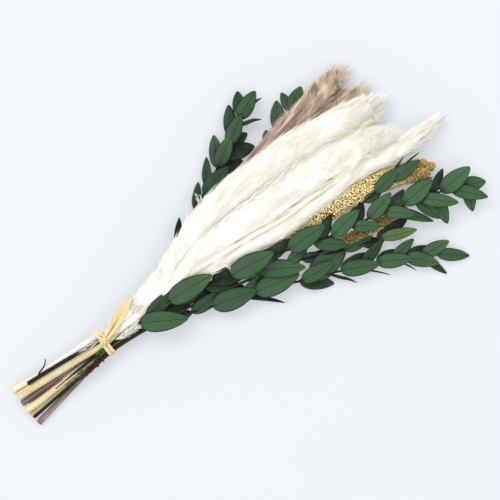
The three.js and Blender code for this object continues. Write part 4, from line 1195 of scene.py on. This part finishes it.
# Each cluster sits at its turn of the golden angle; its seeds spread over a small dome, and
# every seed is a five-sided grain between two poles. The last clusters close the tip.
def headSeeds(head):
    rng = np.random.default_rng(head["seed"])
    clusters, each = head["clusters"], head["seeds"]
    t = (np.arange(clusters) + 0.5) / clusters * 0.99
    closing = t > seedForm["closeFrom"]
    inward = np.where(closing, np.sqrt(rng.random(clusters)), 1.0)
    t = np.repeat(np.where(closing, rng.uniform(0.98, 1.0, clusters), t), each)
    angle = np.repeat(np.arange(clusters) * goldenAngle, each)
    ringTurn = np.tile(np.arange(each) * goldenAngle * 2.4, clusters)
    ringTurn = ringTurn + np.repeat(rng.random(clusters) * 6.28, each)
    out = np.sqrt(np.tile((np.arange(each) + 0.3) / each, clusters))
    size = seedForm["clusterSize"] * np.repeat(rng.uniform(0.8, 1.15, clusters), each)
    place, heading = routeAt(head["route"], t)
    side, top = sidesOf(heading)
    outward = side * np.cos(angle)[:, None] + top * np.sin(angle)[:, None]
    around = np.cross(heading, outward)
    radius = headRadius(head, t)
    shift = rng.normal(0, seedForm["scatter"], (2, len(t)))
    spot = (heading * (out * size * np.cos(ringTurn) + shift[0])[:, None]
            + around * (out * size * np.sin(ringTurn) + shift[1])[:, None])
    dome = np.sqrt(np.clip(1 - 0.6 * out ** 2, 0, 1)) + np.repeat(rng.normal(0, 0.25, clusters), each)
    lumps = 0.7 * np.sin(t * 52 + 2 * angle) * np.sin(3 * angle + t * 17)
    height = radius * 0.85 + 0.72 * size * dome + lumps + rng.normal(0, 0.3, len(t))
    height = height * np.repeat(inward, each)
    centre = place + outward * height[:, None] + spot
    axis = unit(outward + rng.normal(0, 0.5, centre.shape))
    flat, other = sidesOf(axis + np.array([0.01, 0, 0]))
    sides = seedForm["sides"]
    turns = 2 * np.pi * np.arange(sides) / sides
    scale = rng.uniform(0.8, 1.15, len(t))[:, None, None]
    spokes = np.cos(turns)[:, None] * flat[:, None] + np.sin(turns)[:, None] * other[:, None]
    girdle = centre[:, None] + scale * seedForm["width"] * spokes
    poles = [centre[:, None] + scale * axis[:, None] * seedForm["length"] * rise for rise in (-1.0, 1.0)]
    points = np.concatenate([girdle] + poles, axis=1)
    ring = np.arange(sides)
    ahead = np.roll(ring, -1)
    faces = np.concatenate([columnsOf(sides, ahead, ring), columnsOf(sides + 1, ring, ahead)])
    low, high = head["ripe"]
    ripe = np.clip((t - low) / (high - low), 0, 1)
    flow = columnsOf(ripe, 0.0, rng.random(len(t)))
    tone = np.clip(rng.uniform(*head["tones"], len(t)), 0, 1)
    points[..., 2] = np.maximum(points[..., 2], 0.3)
    size = points.shape[1]
    return partOf(points.reshape(-1, 3), [repeatFaces(faces, len(t), size)],
                  np.repeat(flow, size, axis=0), 0.0, 0.0, np.repeat(tone, size))


print("seed heads")
for name, head in seedHeads.items():
    addPiece(name + "_seeds", [headSeeds(head)], goldenSeed, [name])
    addPiece(name + "_pith", [headCore(head)], straws["huskAndGapShade"], [name])


# Raffia tie

tieForm = {
    "bandWidth": 6.6, "thick": 1.05, "slack": 0.35, "strandGap": 0.06, "turns": 72,
    # strips: x, y, z and half width
    "tail": [(0.5, 2.4, 17.8, 1.8), (10, 5.8, 20, 3.4), (22, 11, 21.8, 4.9), (34, 16.2, 22.6, 4),
             (45.5, 20.6, 22.4, 0.3)],
    "stub": [(3.4, 1.6, 17.6, 1.8), (0.8, 7, 17.6, 2.9), (-0.6, 11.4, 16.4, 3), (-1, 14.4, 15, 2.2)],
    "loop": [(0, 2.6, 18.4, 1.3), (7, 2.8, 19.2, 1.5), (14, 6.6, 20, 1.1)],
    "over": [(-3.4, -2.4, 15.4, 1.2), (-0.6, 0.8, 18.8, 1.7), (1.6, 3.6, 19.6, 1.6), (3.8, 6.6, 17.6, 1.0)],
    "under": [(3.6, -2, 15.8, 1.1), (2.2, 1.6, 18.7, 1.5), (0.4, 4.4, 18.9, 1.5), (-1.6, 7, 16.8, 1.0)],
    "stripThick": 0.32, "stripFold": 0.18,
    "knotSize": (3.4, 2.8, 1.9), "knotTurn": 0.5, "knotPlace": (1.4, 2.6, 17.6),
}


# The band's section round the stems, from its support: in each direction it reaches as far as
# the outermost stem does. A point of it is reach * normal + slope of reach * tangent.
def bandOutline(distance):
    angles = 2 * np.pi * np.arange(tieForm["turns"]) / tieForm["turns"]
    normal = columnsOf(np.cos(angles), np.sin(angles))
    tangent = columnsOf(-np.sin(angles), np.cos(angles))
    stems = [(stem["route"], stem["radius"]) for stem in bareStems.values()]
    stems += [(spray["route"], spray["radii"][0]) for spray in (leftSpray, backSpray, frontSpray, topSpray)]
    half = tieForm["bandWidth"] / 2
    reaches = []
    for route, radius in stems:
        places, _ = placeAtX(route, np.array([-half, 0.0, half]))
        reaches += [place[1:] @ normal.T + radius for place in places]
    reach = distance + np.max(reaches, axis=0)
    reach = (np.roll(reach, 1) + 2 * reach + np.roll(reach, -1)) / 4
    slope = (np.roll(reach, -1) - np.roll(reach, 1)) / (2 * angles[1])
    return normal * reach[:, None] + tangent * slope[:, None], angles


# One strand of the band: a ring whose section is a flat rounded strip from x low to x high
def bandStrand(low, high, seed):
    inner, angles = bandOutline(tieForm["slack"])
    outer, _ = bandOutline(tieForm["slack"] + tieForm["thick"])
    middle = (inner + outer) / 2
    # section corners: share across the strand, share through its thickness
    section = np.array([
        (0, 0), (0.06, 0.8), (0.25, 1), (0.5, 0.88), (0.75, 1), (0.94, 0.8), (1, 0), (0.94, -0.9),
        (0.06, -0.9)])
    sway = 0.25 * np.sin(angles * 2 + seed)
    turns, sides = len(angles), len(section)
    x = low + (high - low) * section[None, :, 0] + sway[:, None]
    offset = section[None, :, 1, None] * (outer - inner)[:, None] / 2
    ring = middle[:, None] + offset
    points = columnsOf(x, ring[..., 0], np.maximum(ring[..., 1], 0.0)).reshape(-1, 3)
    index = np.arange(turns * sides).reshape(turns, sides)
    ahead, turned = np.roll(index, -1, axis=0), np.roll(index, -1, axis=1)
    both = np.roll(ahead, -1, axis=1)
    quads = columnsOf(index, ahead, both, turned).reshape(-1, 4)
    flow = columnsOf(np.repeat(angles * 12, sides), np.tile(section[:, 0] * (high - low), turns), seed)
    rim = np.tile(np.abs(section[:, 0] - 0.5) * 2, turns)
    return partOf(points, [quads], flow, 0.0, 0.2 + 0.8 * rim, 0.7)


# A folded strip of raffia: across its width it rises from the crease by the fold, and its long
# edges are slightly frayed
def stripPart(stops, seed, raised=0.0):
    rng = np.random.default_rng(seed)
    rows, columns = 46, 11
    stops = np.asarray(stops, float)
    t = np.linspace(0, 1, rows)
    place, heading = routeAt(stops[:, :3], t)
    half = np.interp(t, np.linspace(0, 1, len(stops)), stops[:, 3])
    side, top = sidesOf(heading)
    v = np.linspace(-1, 1, columns)
    fray = 1 + 0.03 * rng.normal(0, 1, (rows, 1)) * np.abs(v) ** 4
    fold = tieForm["stripFold"] * half[:, None] * np.abs(v)
    grooves = 0.05 * np.cos(v * 14 + seed)[None, :]
    middle = (place[:, None] + side[:, None] * (v * half[:, None] * fray)[..., None]
              + top[:, None] * (fold + grooves + raised)[..., None])
    depth = tieForm["stripThick"] * top[:, None] * np.ones((1, columns, 1))
    points = np.concatenate([(middle + depth).reshape(-1, 3), (middle - depth).reshape(-1, 3)])
    length = np.linalg.norm(np.diff(place, axis=0, prepend=place[:1]), axis=1).cumsum()
    flow = columnsOf(np.repeat(length, columns), (v * half[:, None]).ravel(), seed)
    return partOf(points, [bladeFaces(rows, columns)], np.tile(flow, (2, 1)),
                  np.tile(np.repeat(t, columns), 2), np.tile(np.abs(v), 2 * rows), 0.6)


# The knot: a squashed ball of wound strands, its surface ribbed by the turns
def knotPart():
    rows, columns = 17, 28
    long, wide, high = tieForm["knotSize"]
    rise = np.linspace(0.03, np.pi - 0.03, rows)[:, None]
    turn = (2 * np.pi * np.arange(columns) / columns)[None, :]
    ribs = 1 + 0.05 * np.cos(5 * turn + 6 * rise)
    x = -long * np.cos(rise)
    y = wide * np.sin(rise) * np.cos(turn) * ribs
    z = high * np.sin(rise) * np.sin(turn) * ribs
    cos, sin = math.cos(tieForm["knotTurn"]), math.sin(tieForm["knotTurn"])
    rings = columnsOf(x * cos - y * sin, x * sin + y * cos, z) + tieForm["knotPlace"]
    points = np.concatenate([rings.reshape(-1, 3), rings[:1].mean(axis=1), rings[-1:].mean(axis=1)])
    flow = columnsOf(points[:, 1] * 2, points[:, 0], 0.0)
    return partOf(points, ringFaces(rows, columns), flow, 0.0, 0.6, 0.5)


print("raffia tie")
halfBand = tieForm["bandWidth"] / 2
addPiece("raffia_band", [
    bandStrand(-halfBand, -tieForm["strandGap"], 1.0),
    bandStrand(tieForm["strandGap"], halfBand, 2.0)], raffia, ["raffia_tie"])
addPiece("raffia_knot", [
    knotPart(), stripPart(tieForm["tail"], 3), stripPart(tieForm["stub"], 4),
    stripPart(tieForm["loop"], 5, raised=0.3), stripPart(tieForm["under"], 6, raised=0.2),
    stripPart(tieForm["over"], 7, raised=0.5)], raffia, ["raffia_tie"])

# A dry red-brown scrap of sheath along the lower edge of a straw
sheath = [(-88, -5, 8.4, 0.5), (-77, -4.8, 8.8, 0.9), (-63, -4.7, 9.2, 0.8), (-50, -4.3, 9.4, 0.3)]
addPiece("stem_sheath", [stripPart(sheath, 8)], straws["redSheath"])
